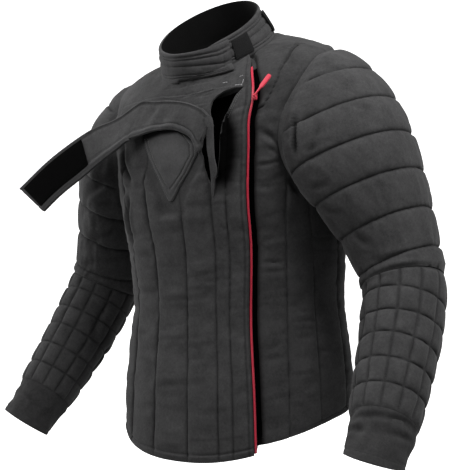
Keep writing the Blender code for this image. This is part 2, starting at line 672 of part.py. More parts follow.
def build_strap():
    along = np.linspace(0, 1, STRAP_PIECES_LONG + 1)[None, :]
    across = np.linspace(0, 1, STRAP_PIECES_WIDE + 1)[:, None]
    along, across = np.broadcast_arrays(along, across)
    inside = (along > 0.02) & (along < 0.98) & (across > 0.02) & (across < 0.98)
    normal = strap_normal(np.clip(along, 0.01, 0.99), across)
    points = strap(along, across)
    rim = smooth((0.30 - across) / 0.2) * inside
    outer = points + normal * (STRAP_ROLL * rim)[..., None]
    inner = points - normal * STRAP_THICKNESS
    plain_sheet("throat_strap", outer, inner, CHARCOAL)
    along = np.linspace(*HOOK_PATCH_ALONG, 9)[None, :]
    across = np.linspace(*HOOK_PATCH_ACROSS, 5)[:, None]
    along, across = np.broadcast_arrays(along, across)
    normal = strap_normal(np.clip(along, 0.01, 0.99), across)
    face = strap(along, across) + normal * (STRAP_ROLL + SEAM_GAP)
    plain_sheet("strap_hook_patch", face + normal * HOOK_THICKNESS, face, BLACK_WEBBING)


# Narrow end of the strap, running down the slit's side: its two edges as turns at each height
LEG_ROWS = (
    # up     inner  outer  proud
    (0.336, 18.7, 19.5, 0.0061),
    (0.380, 18.6, 20.2, 0.0066),
    (0.415, 17.4, 20.4, 0.0070),
    (0.450, 17.2, 20.4, 0.0074),
    (0.470, 17.2, 20.3, 0.0076),
)
LEG_THICKNESS = 0.0040


def build_strap_leg():
    rows = np.array(LEG_ROWS)
    up = np.linspace(rows[0, 0], rows[-1, 0], 13)
    inner_turn, outer_turn, proud = (spline(rows[:, 0], rows[:, k], up) for k in (1, 2, 3))
    across = np.linspace(0, 1, 3)
    turn = inner_turn[:, None] + (outer_turn - inner_turn)[:, None] * across
    up, proud = (np.broadcast_to(v[:, None], turn.shape) for v in (up, proud))
    face, normal = body(turn, up), body_normal(turn, up)
    crown = 0.0008 * np.array([0.0, 1.0, 0.0]) * ~edge_mask(np.ones((6, 1), bool), False)
    outer = face + normal * (proud + crown)[..., None]
    inner = face + normal * (proud - LEG_THICKNESS)[..., None]
    plain_sheet("strap_leg", outer, inner, CHARCOAL)


# Openings cut through the right front at the throat, as turn and height
THROAT_HOLE = (
    (35.4, 0.562), (30.8, 0.574), (25.2, 0.576), (20.2, 0.566), (17.0, 0.547), (16.4, 0.529), (19.2, 0.504),
    (23.0, 0.488), (24.2, 0.500), (26.6, 0.520), (29.2, 0.537), (33.8, 0.554),
)
SLIT_HOLE = (
    (16.7, 0.476), (14.2, 0.456), (13.4, 0.433), (14.5, 0.414), (15.0, 0.390), (16.8, 0.367), (18.7, 0.347),
    (18.5, 0.382), (17.1, 0.414), (17.0, 0.450),
)
CUT_ABOVE, CUT_BELOW = 0.013, 0.012


def cut_hole(panel, name, outline):
    """Opening through a panel, from an outline on the body."""
    turn, up = np.array(outline).T
    face = body(turn, up)
    through = unit(body_normal(turn, up).mean(axis=0))
    count = len(face)
    points = np.concatenate([face + through * CUT_ABOVE, face - through * CUT_BELOW])
    faces = [tuple(range(count)), tuple(range(2 * count - 1, count - 1, -1))]
    faces += [(k, k + count, (k + 1) % count + count, (k + 1) % count) for k in range(count)]
    cutter = add_solid(name, points, faces, CHARCOAL)
    cutter.hide_render = True
    cutter.display_type = "WIRE"
    boolean = panel.modifiers.new(name, "BOOLEAN")
    boolean.operation = "DIFFERENCE"
    boolean.solver = "EXACT"
    boolean.object = cutter


# Pointed chest patch over a flat place in the right front: its two edges as turns at each height
PATCH_ROWS = np.array([
    # up    right   left of the wearer
    (0.335, -1.5, -0.1),
    (0.358, -4.1, 2.9),
    (0.384, -7.0, 7.6),
    (0.417, -10.4, 11.7),
    (0.445, -12.9, 11.0),
    (0.470, -14.6, 8.0),
    (0.488, -14.2, 5.0),
])
PATCH_THICKNESS, PATCH_PUFF = 0.0020, 0.0024
PATCH_MARGIN_TURN, PATCH_MARGIN_UP = 3.0, 0.012


def under_patch(turn, up):
    """1 where the patch lies, fading to 0 round it."""
    low, high = PATCH_ROWS[0, 0], PATCH_ROWS[-1, 0]
    left, right = (np.interp(up, PATCH_ROWS[:, 0], PATCH_ROWS[:, k]) for k in (1, 2))
    inside = np.minimum(turn - left, right - turn) / PATCH_MARGIN_TURN + 2.2
    height = np.minimum(up - low, high - up) / PATCH_MARGIN_UP + 2.6
    return smooth(inside) * smooth(height)


def build_chest_patch():
    across, up = np.meshgrid(np.linspace(0, 1, 9), np.linspace(PATCH_ROWS[0, 0], PATCH_ROWS[-1, 0], 13))
    left, right = (np.interp(up, PATCH_ROWS[:, 0], PATCH_ROWS[:, k]) for k in (1, 2))
    turn = left + (right - left) * across
    blocks = np.ones((6, 4), bool)
    face, normal = body(turn, up), body_normal(turn, up)
    wide = smooth((right - left) / 12)
    crown = np.sin(np.pi * across) ** 0.5 * wide * ~edge_mask(blocks, False)
    outer = face + normal * (SEAM_GAP + PATCH_THICKNESS + PATCH_PUFF * crown)[..., None]
    inner = face + normal * np.full(turn.shape + (1,), SEAM_GAP)
    plain_sheet("chest_patch", outer, inner, CHARCOAL)


UNDERLAP_TURN, UNDERLAP_UP = (6.0, 44.0), (0.395, 0.598)
UNDERLAP_DEPTH, UNDERLAP_THICKNESS = 0.0118, 0.0025


def build_underlap():
    """Layer inside the front, under the open throat."""
    turn, up = np.meshgrid(np.linspace(*UNDERLAP_TURN, 9), np.linspace(*UNDERLAP_UP, 13))
    face, normal = body(turn, up), body_normal(turn, up)
    inner = face - normal * (UNDERLAP_DEPTH + UNDERLAP_THICKNESS)
    plain_sheet("underlap", face - normal * UNDERLAP_DEPTH, inner, CHARCOAL)


CHAIN_WIDTH, CHAIN_TOP, CHAIN_BOTTOM = 0.0052, 0.0008, -0.0024
CHAIN_START, CHAIN_END = 0.011, 0.605
EDGE_GAP = 0.0016


def metres_round(turn, up):
    """Metres round the body for one degree of turn."""
    return np.linalg.norm(body(turn + 0.5, up) - body(turn - 0.5, up), axis=-1)


def zip_place(off, up):
    """Turn on the body, `off` metres from the zip line towards the wearer's left."""
    line = spline(ZIP_UP, ZIP_TURN, up)
    return line + off / metres_round(line, up)


def build_zip_chain(front):
    """Chain along the right front's edge, its underside's rows beside the rows of that edge."""
    rows = np.arange(2 * (LOW_ROWS + MID_ROWS + HIGH_ROWS) + 1) / 2
    edge, up = front.place(front.count, rows)
    up = np.clip(up, CHAIN_START, CHAIN_END)[:, None]
    off = EDGE_GAP + CHAIN_WIDTH * np.array([0.0, 0.5, 1.0])[None, :]
    turn = spline(ZIP_UP, ZIP_TURN, up) + off / metres_round(edge[:, None], up)
    up = np.broadcast_to(up, turn.shape)
    face, normal = body(turn, up), body_normal(turn, up)
    crown = 0.0006 * np.array([0.0, 1.0, 0.0]) * ~edge_mask(np.ones((len(rows) // 2, 1), bool), False)
    outer = face + normal * (CHAIN_TOP + crown)[..., None]
    inner = face + normal * np.full(turn.shape + (1,), CHAIN_BOTTOM)
    plain_sheet("zip_chain", outer, inner, RED)


# Slider and pull, at one place on the zip
SLIDER_UP = 0.526
SLIDER_SIZE = (0.0076, 0.0105, 0.0026)
SLIDER_STAND = 0.0017
POST_SIZE, POST_SPREAD = (0.0014, 0.0030, 0.0040), 0.0021
BAR_RADIUS = 0.0008
PULL_TARGET = (50.5, 0.552)
EYE_HOLE, EYE_OUTER, EYE_THICKNESS = 0.0012, 0.0026, 0.0018
PULL_STEM = (0.0022, 0.0018)
PULL_TAB = (0.0060, 0.0026)
STEM_LENGTH, TAB_LENGTH = 0.014, 0.026


def zip_frame():
    """Seat of the slider: its point, the pull's direction, the hinge's direction and the way out."""
    up = np.array(SLIDER_UP)
    turn = zip_place(EDGE_GAP + CHAIN_WIDTH / 2, up)
    seat, out = body(turn, up), body_normal(turn, up)
    reach = body(*(np.array(v) for v in PULL_TARGET)) - seat
    reach = unit(reach - out * (reach @ out))
    return seat, reach, np.cross(out, reach), out


def placed(name, points, faces, axes, origin, finish):
    """Solid whose points are given along three axes from an origin."""
    return add_solid(name, np.asarray(points) @ np.array(axes) + origin, faces, finish)


def box_points(size, middle):
    half = np.array(size) / 2
    corners = [(x, y, z) for z in (-1, 1) for y in (-1, 1) for x in (-1, 1)]
    return np.array(corners) * half + np.array(middle)


BOX_FACES = [(0, 2, 3, 1), (4, 5, 7, 6), (0, 1, 5, 4), (2, 6, 7, 3), (0, 4, 6, 2), (1, 3, 7, 5)]


def join(target, others, operation="UNION"):
    for other in others:
        other.hide_render = True
        other.display_type = "WIRE"
        boolean = target.modifiers.new(other.name, "BOOLEAN")
        boolean.operation = operation
        boolean.solver = "EXACT"
        boolean.object = other


def tube_points(radius, length, count=12):
    angle = np.arange(count) * 2 * math.pi / count
    ring = np.stack([np.cos(angle) * radius, np.zeros(count), np.sin(angle) * radius], axis=-1)
    ends = [ring + np.array([0.0, y, 0.0]) for y in (-length / 2, length / 2)]
    faces = [tuple(range(count)), tuple(range(2 * count - 1, count - 1, -1))]
    faces += [(k, k + count, (k + 1) % count + count, (k + 1) % count) for k in range(count)]
    return np.concatenate(ends), faces


def hinge_height():
    return SLIDER_STAND + SLIDER_SIZE[2] + EYE_OUTER + 0.0004


def build_slider_and_pull():
    seat, reach, hinge, out = zip_frame()
    along = unit(body(zip_place(0.003, SLIDER_UP + 0.005), SLIDER_UP + 0.005)
                 - body(zip_place(0.003, SLIDER_UP - 0.005), SLIDER_UP - 0.005))
    along = unit(along - out * (along @ out))
    block = placed("zip_slider", box_points(SLIDER_SIZE, (0, 0, SLIDER_STAND + SLIDER_SIZE[2] / 2)), BOX_FACES,
                   (np.cross(along, out), along, out), seat, RED)
    height = hinge_height()
    post_middle = SLIDER_STAND + SLIDER_SIZE[2] - 0.0004 + POST_SIZE[2] / 2
    axes = (reach, hinge, out)
    posts = [placed("post_%d" % k, box_points((POST_SIZE[1], POST_SIZE[0], POST_SIZE[2]),
                                              (0, side * POST_SPREAD, post_middle)), BOX_FACES, axes, seat, RED)
             for k, side in enumerate((-1, 1))]
    bar = placed("bar", tube_points(BAR_RADIUS, 2 * POST_SPREAD)[0] + np.array([0, 0, height]),
                 tube_points(BAR_RADIUS, 2 * POST_SPREAD)[1], axes, seat, RED)
    join(block, posts + [bar])
    pivot = seat + out * height
    eye_points, eye_faces = tube_points(EYE_OUTER, EYE_THICKNESS, 16)
    pull = placed("zip_pull", eye_points, eye_faces, axes, pivot, RED)
    stem_start = EYE_HOLE + 0.0009
    stem = placed("stem", box_points((STEM_LENGTH, PULL_STEM[0] * 0.8, PULL_STEM[1]),
                                     (stem_start + STEM_LENGTH / 2, 0, 0)), BOX_FACES, axes, pivot, RED)
    tab_start = stem_start + STEM_LENGTH - 0.001
    tab = placed("tab", box_points((TAB_LENGTH, *PULL_TAB), (tab_start + TAB_LENGTH / 2, 0, 0)),
                 BOX_FACES, axes, pivot, RED)
    join(pull, [stem, tab])
    eye_hole = placed("eye_hole", *tube_points(EYE_HOLE, 2 * EYE_THICKNESS), axes, pivot, RED)
    join(pull, [eye_hole], "DIFFERENCE")
    pull.data.transform(mathutils.Matrix.Translation(tuple(-pivot)))
    pull.location = tuple(pivot)


def main():
    for thing in list(bpy.data.objects):
        bpy.data.objects.remove(thing, do_unlink=True)
    left_front = Panel(LEFT_FRONT_LINES, None, (2, 1, 0, -ARMHOLE_FRONT_REACH, -SEAM_TURN), HEM_RISE)
    right_front = Panel(RIGHT_FRONT_LINES, (2, -1, 0, -ARMHOLE_FRONT_REACH, -SEAM_TURN), None)
    back = Panel(BACK_LINES, (2, 1, 0, ARMHOLE_BACK_REACH, SEAM_TURN), (2, -1, 360, ARMHOLE_BACK_REACH, SEAM_TURN))
    build_panel("left_front", left_front, level_left_front, beside_zip)
    front = build_panel("right_front", right_front, level_right_front, under_patch)
    cut_hole(front, "throat_hole_cut", THROAT_HOLE)
    cut_hole(front, "slit_cut", SLIT_HOLE)
    build_panel("back", back, level_body, nowhere_flat)
    for word, side in (("left", 1), ("right", -1)):
        build_upper_sleeve("upper_sleeve_" + word, side)
        build_forearm("forearm_" + word, side)
        build_cuff("cuff_" + word, side)
    build_collar()
    patch_on_collar("collar_loop_patch", LOOP_PATCH_TURN, LOOP_PATCH_SLANT, LOOP_PATCH_HEIGHT,
                    0.0015, 0.0, BLACK_WEBBING)
    patch_on_collar("collar_keeper", KEEPER_TURN, 0.0, KEEPER_HEIGHT, 0.0018, 0.003, BLACK_WEBBING)
    build_strap()
    build_strap_leg()
    build_chest_patch()
    build_underlap()
    build_zip_chain(right_front)
    build_slider_and_pull()


main()
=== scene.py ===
"""Looks of the quilted fencing jacket: its cloth, sewing, zip and the studio round it.

Metres, +Z up. The wearer faces -Y and the wearer's left is +X.
"""

import math

import bmesh
import bpy
import numpy as np
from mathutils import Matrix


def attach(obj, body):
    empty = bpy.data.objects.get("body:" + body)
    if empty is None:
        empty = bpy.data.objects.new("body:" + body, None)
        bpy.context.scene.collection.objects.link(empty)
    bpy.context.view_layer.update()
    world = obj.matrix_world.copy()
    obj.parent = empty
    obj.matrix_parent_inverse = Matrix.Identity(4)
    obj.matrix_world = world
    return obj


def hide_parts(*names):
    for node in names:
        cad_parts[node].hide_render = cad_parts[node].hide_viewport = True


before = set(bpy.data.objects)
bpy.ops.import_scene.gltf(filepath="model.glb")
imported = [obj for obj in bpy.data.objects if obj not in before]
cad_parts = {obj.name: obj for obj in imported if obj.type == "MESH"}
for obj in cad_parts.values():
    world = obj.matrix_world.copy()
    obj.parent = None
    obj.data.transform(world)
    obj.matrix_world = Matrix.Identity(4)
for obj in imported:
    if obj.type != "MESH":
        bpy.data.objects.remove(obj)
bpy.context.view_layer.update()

# Cloth
WALL = 0.0035
SEAM_GAP = 0.0003
COLLAR_PUFF = 0.0012

# Body: one ring of cloth for each row, measured on the stitch lines. Heights at the front, side and back,
# half width, depth in front of and behind the ring's middle, the middle's place fore and aft, squareness.
BODY_RINGS = np.array([
    # z_front  z_side  z_back  half_w  front_d  back_d  mid_y  square
    (-0.637, -0.568, -0.546, 0.197, 0.148, 0.144, 0.046, 2.30),  # hem
    (-0.540, -0.500, -0.485, 0.193, 0.145, 0.143, 0.046, 2.30),  # hip
    (-0.405, -0.390, -0.385, 0.183, 0.138, 0.134, 0.046, 2.25),  # waist
    (-0.330, -0.325, -0.320, 0.185, 0.142, 0.136, 0.043, 2.30),  # ribs
    (-0.255, -0.250, -0.245, 0.190, 0.148, 0.142, 0.036, 2.35),  # underarm
    (-0.190, -0.175, -0.170, 0.196, 0.148, 0.144, 0.029, 2.35),  # chest
    (-0.140, -0.095, -0.085, 0.199, 0.138, 0.136, 0.021, 2.35),  # shoulder blades
    (-0.102, -0.019, 0.002, 0.192, 0.122, 0.116, 0.014, 2.30),  # shoulder point
    (-0.077, 0.003, 0.036, 0.142, 0.108, 0.104, 0.006, 2.15),  # mid shoulder
    (-0.053, 0.006, 0.055, 0.090, 0.096, 0.092, 0.000, 2.00),  # neckline
])
SIDE_STEPS = np.hypot(np.diff(BODY_RINGS[:, 3]), np.diff(BODY_RINGS[:, 1]))
BODY_UP = np.concatenate([[0.0], np.cumsum(SIDE_STEPS)])
UNDERARM_UP, SHOULDER_UP, NECK_UP = BODY_UP[4], BODY_UP[7], BODY_UP[9]

# Armhole, as a loop on the body: angles are turned from the front round to the side, in degrees
ARMHOLE_TURN = 97.0
ARMHOLE_FRONT_REACH = 43.0
ARMHOLE_BACK_REACH = 40.0
ARMHOLE_CORNER = 58.0
ARMHOLE_MIDDLE = (UNDERARM_UP + SHOULDER_UP) / 2
ARMHOLE_HALF = (SHOULDER_UP - UNDERARM_UP) / 2
CORNER_DROP = ARMHOLE_HALF * math.cos(math.radians(ARMHOLE_CORNER))
LOW_CORNER_UP, HIGH_CORNER_UP = ARMHOLE_MIDDLE - CORNER_DROP, ARMHOLE_MIDDLE + CORNER_DROP
SEAM_TURN = 0.06

# Zip line, on the wearer's left front
ZIP_UP = np.array([0.0, 0.05, 0.15, 0.27, 0.33, 0.42, 0.47, 0.51, 0.552, 0.588, NECK_UP])
ZIP_TURN = np.array([37.4, 36.8, 35.4, 36.8, 36.3, 36.8, 36.4, 37.2, 39.3, 46.0, 70.0])
ZIP_RADIUS = 0.15
HEM_DROP = 0.008
HEM_RISE = 0.010

# Upright stitch lines: their angles at the hem and at the neckline, and the side seams between the pieces
SIDE_SEAM_TURN, SHOULDER_SEAM_TURN = 100.0, 95.0
FRONT_SIDE, FRONT_TOP = SIDE_SEAM_TURN - SEAM_TURN, SHOULDER_SEAM_TURN - SEAM_TURN
BACK_SIDE, BACK_TOP = SIDE_SEAM_TURN + SEAM_TURN, SHOULDER_SEAM_TURN + SEAM_TURN
LEFT_FRONT_LINES = ((37.8, 57.0, 78.0, FRONT_SIDE), (57.5, 75.0, 86.0, FRONT_TOP))
RIGHT_FRONT_LINES = (
    (-FRONT_SIDE, -78.0, -57.0, -35.0, -13.0, 4.0, 19.5, 27.0, 37.8),
    (-FRONT_TOP, -86.0, -77.0, -50.0, -22.0, 4.0, 30.0, 42.0, 57.5),
)
BACK_LINES = (
    (BACK_SIDE, 120.0, 140.0, 160.0, 180.0, 200.0, 220.0, 240.0, 360 - BACK_SIDE),
    (BACK_TOP, 103.0, 111.0, 145.0, 180.0, 215.0, 249.0, 257.0, 360 - BACK_TOP),
)
LOW_ROWS, MID_ROWS, HIGH_ROWS = 10, 4, 4
TOP_ROW = LOW_ROWS + MID_ROWS + HIGH_ROWS

# Sleeve of the wearer's left; the right one is its mirror image. Rings below the elbow and above it.
SLEEVE_RINGS = np.array([
    # x      y       z      half_across  half_deep
    (0.280, 0.046, -0.300, 0.068, 0.074),  # above the elbow
    (0.310, 0.050, -0.365, 0.059, 0.065),  # elbow seam
    (0.3245, 0.020, -0.430, 0.057, 0.062),
    (0.336, -0.025, -0.500, 0.052, 0.056),
    (0.346, -0.068, -0.563, 0.046, 0.050),  # cuff seam
    (0.350, -0.087, -0.588, 0.042, 0.046),
    (0.353, -0.106, -0.611, 0.041, 0.045),  # cuff edge
])
RING_STEPS = np.linalg.norm(np.diff(SLEEVE_RINGS[:, :3], axis=0), axis=1)
ARM_DOWN = np.concatenate([[0.0], np.cumsum(RING_STEPS)])
ELBOW_DOWN, CUFF_DOWN, EDGE_DOWN = ARM_DOWN[1], ARM_DOWN[4], ARM_DOWN[6]
SHOULDER_POINT = np.array([0.190, 0.030, -0.090])
ELBOW_GAP = 0.0018
CHANNEL_HEIGHT = 0.058
LOWEST_CHANNEL = 0.029
ARM_CHANNELS = 6
FOREARM_ROWS = 6
FOREARM_COLUMNS = 12


def spline(knots, values, at):
    """Smooth curve through values at knots, read at the places `at`."""
    knots, values = np.asarray(knots, float), np.asarray(values, float)
    slopes = np.gradient(values, knots, axis=0)
    at = np.clip(np.asarray(at, float), knots[0], knots[-1])
    k = np.clip(np.searchsorted(knots, at, side="right") - 1, 0, len(knots) - 2)
    step = knots[k + 1] - knots[k]
    f = (at - knots[k]) / step
    if values.ndim > 1:
        f, step = f[..., None], step[..., None]
    rise = f * f * (3 - 2 * f)
    lead = f * (1 - f) ** 2 * step
    trail = -f * f * (1 - f) * step
    return values[k] * (1 - rise) + values[k + 1] * rise + slopes[k] * lead + slopes[k + 1] * trail


def unit(vectors):
    return vectors / np.maximum(np.linalg.norm(vectors, axis=-1, keepdims=True), 1e-12)


def smooth(f):
    f = np.clip(f, 0.0, 1.0)
    return f * f * (3 - 2 * f)


def normals(surface, a, b, step_a, step_b):
    """Outward directions of surface(a, b), whose a runs to the left and b up, seen from outside."""
    along_a = surface(a + step_a, b) - surface(a - step_a, b)
    along_b = surface(a, b + step_b) - surface(a, b - step_b)
    return unit(np.cross(along_a, along_b))


def body(turn, up):
    """Point of the body's cloth, turned from the front in degrees and up from the hem in metres."""
    ring = spline(BODY_UP, BODY_RINGS, up)
    z_front, z_side, z_back, half_width, front_depth, back_depth, mid_y, square = np.moveaxis(ring, -1, 0)
    cosine, sine = np.cos(np.radians(turn)), np.sin(np.radians(turn))
    power = 2 / square
    depth = np.where(cosine > 0, front_depth, back_depth)
    x = half_width * np.sign(sine) * np.abs(sine) ** power
    y = mid_y - depth * np.sign(cosine) * np.abs(cosine) ** power
    z = z_side + (z_front - z_back) / 2 * cosine + ((z_front + z_back) / 2 - z_side) * cosine**2
    z = z - HEM_DROP * (1 - smooth(up / 0.10))
    return np.stack([x, y, z], axis=-1)


def body_normal(turn, up):
    turn, up = np.broadcast_arrays(np.asarray(turn, float), np.asarray(up, float))
    return normals(body, turn, np.clip(up, 0.002, NECK_UP - 0.002), 1.0, 0.002)


def armhole(psi, reach, seam):
    """Turn and height of the armhole seam; psi is 0 at the underarm and 180 at the shoulder point."""
    psi = np.radians(psi)
    return ARMHOLE_TURN + seam + reach * np.sin(psi) ** 0.9, ARMHOLE_MIDDLE - ARMHOLE_HALF * np.cos(psi)


class Panel:
    """Cut piece of the body between two edges, each a side seam with an armhole over it, or the zip."""

    def __init__(self, lines, left_arm, right_arm, hem_rise=0.0):
        self.hem, self.neck = (np.array(row) for row in lines)
        self.hem_rise = hem_rise
        # An arm is its number of side channels, its mirror sign, its added turn and its armhole reach
        self.left_arm, self.right_arm = left_arm, right_arm
        self.count = len(self.hem) - 1
        self.first = left_arm[0] if left_arm else 0
        self.last = self.count - (right_arm[0] if right_arm else 0)

    def arm_edge(self, arm, psi):
        _, sign, added, reach, seam = arm
        turn, up = armhole(psi, reach, seam)
        return added + sign * turn, up

    def main_edge(self, arm, column, up):
        """Turn of the main block's edge: the zip, or the stitch line that runs up into the armhole."""
        if arm is None:
            return spline(ZIP_UP, ZIP_TURN, up)
        cosine = np.clip((ARMHOLE_MIDDLE - up) / ARMHOLE_HALF, -1, 1)
        psi = np.degrees(np.arccos(cosine))
        low, _ = self.arm_edge(arm, ARMHOLE_CORNER)
        beside, _ = self.arm_edge(arm, psi)
        below = self.hem[column] + (low - self.hem[column]) * np.clip(up / LOW_CORNER_UP, 0, 1) ** 2
        rise = np.clip((up - HIGH_CORNER_UP) / (NECK_UP - HIGH_CORNER_UP), 0, 1)
        above = low + (self.neck[column] - low) * rise
        return np.where(up < LOW_CORNER_UP, below, np.where(up > HIGH_CORNER_UP, above, beside))

    def place(self, column, row):
        """Turn and height at a column and a row, both in parts of the panel's own grid."""
        column, row = np.broadcast_arrays(np.asarray(column, float), np.asarray(row, float))
        lines = np.arange(self.count + 1)
        low_row, high_row, top_row = LOW_ROWS, LOW_ROWS + MID_ROWS, TOP_ROW
        up = np.interp(row, [0, low_row, high_row, top_row], [0, LOW_CORNER_UP, HIGH_CORNER_UP, NECK_UP])
        left = self.main_edge(self.left_arm, self.first, up)
        right = self.main_edge(self.right_arm, self.last, up)
        hem = np.interp(column, lines, self.hem)
        neck = np.interp(column, lines, self.neck)
        hem_share = (hem - self.hem[self.first]) / (self.hem[self.last] - self.hem[self.first])
        neck_share = (neck - self.neck[self.first]) / (self.neck[self.last] - self.neck[self.first])
        drift = smooth((up - LOW_CORNER_UP) / (NECK_UP - LOW_CORNER_UP))
        turn = left + (hem_share + (neck_share - hem_share) * drift) * (right - left)
        for arm, start, end in ((self.left_arm, self.first, 0), (self.right_arm, self.last, self.count)):
            if arm is None:
                continue
            share = np.clip((column - start) / (end - start), 0, 1)
            beside = share > 0
            below = row <= low_row
            psi = np.where(below, ARMHOLE_CORNER * (1 - share), 180 - ARMHOLE_CORNER * (1 - share))
            edge_turn, edge_up = self.arm_edge(arm, psi)
            lower, rise = row / low_row, (row - high_row) / (top_row - high_row)
            low_turn = hem + (edge_turn - hem) * lower**2
            high_turn = edge_turn + (neck - edge_turn) * rise
            side_turn = np.where(below, low_turn, high_turn)
            side_up = np.where(below, edge_up * lower, edge_up + (NECK_UP - edge_up) * rise)
            turn = np.where(beside, side_turn, turn)
            up = np.where(beside, side_up, up)
        from_start = (hem - self.hem[0]) / (self.hem[-1] - self.hem[0])
        return turn, up + self.hem_rise * (1 - smooth(up / 0.15)) * (1 - from_start)


def zip_side(turn, up):
    """Distance in metres from the zip line round the body, positive towards the wearer's left side."""
    return np.radians(turn - spline(ZIP_UP, ZIP_TURN, up)) * ZIP_RADIUS


def nowhere(turn, up):
    """0 all over a body piece."""
    return np.zeros_like(turn)


def beside_zip(turn, up):
    """1 under the zip's chain, fading to 0 at a few millimetres to the wearer's left of it."""
    return smooth((0.0125 - zip_side(turn, up)) / 0.003)


RIGHT_EDGE_RISE = 0.002
LEFT_EDGE_DROP = 0.0035


def level_right_front(turn, up):
    """The right front's edge stands a little proud along the zip."""
    return RIGHT_EDGE_RISE * smooth(1 + zip_side(turn, up) / 0.03)


def level_left_front(turn, up):
    """The left front lies lower along the zip."""
    return -LEFT_EDGE_DROP * smooth(1 - zip_side(turn, up) / 0.04)


def around_arm(bottom, front, top, back, psi):
    """Smooth value round the arm through four values; psi is 0 underneath and 90 in front."""
    bottom, front, top, back = (np.asarray(v, float) for v in (bottom, front, top, back))
    psi = np.radians(psi)
    if bottom.ndim:
        psi = psi[..., None]
    mean = (bottom + front + top + back) / 4
    return (mean + (bottom - top) / 2 * np.cos(psi) + (front - back) / 2 * np.sin(psi)
            + (bottom + top - front - back) / 4 * np.cos(2 * psi))


def arm_ring(psi, down):
    """Point of the sleeve below the upper arm, `down` metres along the arm from the first ring."""
    psi, down = np.broadcast_arrays(np.asarray(psi, float), np.asarray(down, float))
    ring = spline(ARM_DOWN, SLEEVE_RINGS, down)
    ahead = spline(ARM_DOWN, SLEEVE_RINGS[:, :3], down + 0.004)
    behind = spline(ARM_DOWN, SLEEVE_RINGS[:, :3], down - 0.004)
    along = unit(ahead - behind)
    outward = np.array([1.0, 0.0, 0.3])
    outward = unit(outward - along * (along @ outward)[..., None])
    forward = np.cross(along, outward)
    psi = np.radians(psi)[..., None]
    return ring[..., :3] - outward * np.cos(psi) * ring[..., 3:4] + forward * np.sin(psi) * ring[..., 4:5]


def armhole_loop(psi):
    """Upper edge of the sleeve, just inside the armhole of the body; psi runs all round."""
    psi = np.asarray(psi, float) % 360
    front = psi <= 180
    half = np.where(front, psi, 360 - psi)
    reach = np.where(front, -(ARMHOLE_FRONT_REACH - 0.2), ARMHOLE_BACK_REACH - 0.2)
    turn = ARMHOLE_TURN + reach * np.sin(np.radians(half)) ** 0.9
    up = ARMHOLE_MIDDLE - (ARMHOLE_HALF - 0.0006) * np.cos(np.radians(half))
    return body(turn, up)


HEAD_START = ((0.10, 0.0, -0.10), (0.26, -0.10, -0.12), (0.42, 0.0, -0.10), (0.26, 0.10, -0.12))
HEAD_END = (0.15, 0.24, 0.30, 0.24)


def upper_arm(psi, s):
    """Point of the upper sleeve, s from 0 at the armhole to 1 at the elbow seam."""
    psi, s = np.broadcast_arrays(np.asarray(psi, float), np.asarray(s, float))
    start, end = armhole_loop(psi), arm_ring(psi, ELBOW_DOWN)
    below = spline(ARM_DOWN, SLEEVE_RINGS[:, :3], ELBOW_DOWN + 0.02)
    above = spline(ARM_DOWN, SLEEVE_RINGS[:, :3], ELBOW_DOWN - 0.02)
    leave = around_arm(*HEAD_START, psi)
    arrive = unit(below - above) * around_arm(*HEAD_END, psi)[..., None]
    s = s[..., None]
    rise = s * s * (3 - 2 * s)
    return (start * (1 - rise) + end * rise + leave * s * (1 - s) ** 2 - arrive * s * s * (1 - s))


ELBOW = SLEEVE_RINGS[1, :3]
UPPER_AXIS = unit(SHOULDER_POINT - ELBOW)


def arm_height(points):
    """Distance above the elbow along the upper arm."""
    return (points - ELBOW) @ UPPER_AXIS


def mirrored(points, side):
    return points * np.array([side, 1.0, 1.0])


def sleeve_normal(surface, a, b):
    return -normals(surface, a, b, 2.0, 0.004)


# Collar: one strip wound from under the wearer's left front, round the back and over its own start
COLLAR_START, COLLAR_END, COLLAR_END_SLANT = 22.0, 405.0, 15.0
COLLAR_LIFT_START, COLLAR_LIFT_END, COLLAR_LAP = 335.0, 374.0, 0.0066
COLLAR_RISE = 0.0008
COLLAR_TOP_WIDTH, COLLAR_TOP_DEPTH = 0.0775, 0.0825
COLLAR_TOP_MIDDLE = (0.0, -0.028, 0.0465)
COLLAR_TILT_BACK, COLLAR_TILT_SIDE = 0.71, -0.09


def collar(turn, height):
    """Point of the collar's cloth, height from 0 at the neckline to 1 at its top edge."""
    turn, height = np.broadcast_arrays(np.asarray(turn, float), np.asarray(height, float))
    base = body(turn, np.full(turn.shape, NECK_UP)) + np.array([0.0, 0.0, COLLAR_RISE])
    angle = np.radians(turn)
    x = COLLAR_TOP_WIDTH * np.sin(angle)
    y = -COLLAR_TOP_DEPTH * np.cos(angle)
    top = np.stack([x, y, COLLAR_TILT_BACK * y + COLLAR_TILT_SIDE * x], axis=-1) + np.array(COLLAR_TOP_MIDDLE)
    return base + (top - base) * height[..., None]


def collar_normal(turn, height):
    """Outward direction, level at the neckline so that the collar's inner side stays above the body."""
    normal = normals(collar, np.asarray(turn, float), np.clip(height, 0.06, 0.94), 1.0, 0.05)
    normal[..., 2] *= smooth(np.asarray(height) * 3)
    return unit(normal)


def collar_lift(turn):
    return COLLAR_LAP * smooth((turn - COLLAR_LIFT_START) / (COLLAR_LIFT_END - COLLAR_LIFT_START))


def on_collar(turn, height, off):
    return collar(turn, height) + collar_normal(turn, height) * np.asarray(off)[..., None]


# Patch of loops on the collar: turns of its two sides, slant, and heights as shares of the collar's
LOOPS_TURN, LOOPS_SLANT, LOOPS_HEIGHT = (57.5, 77.0), 5.0, (0.05, 0.78)
KEEPER_TURN = (120.0, 131.0)
KEEPER_HEIGHT = (0.16, 0.84)


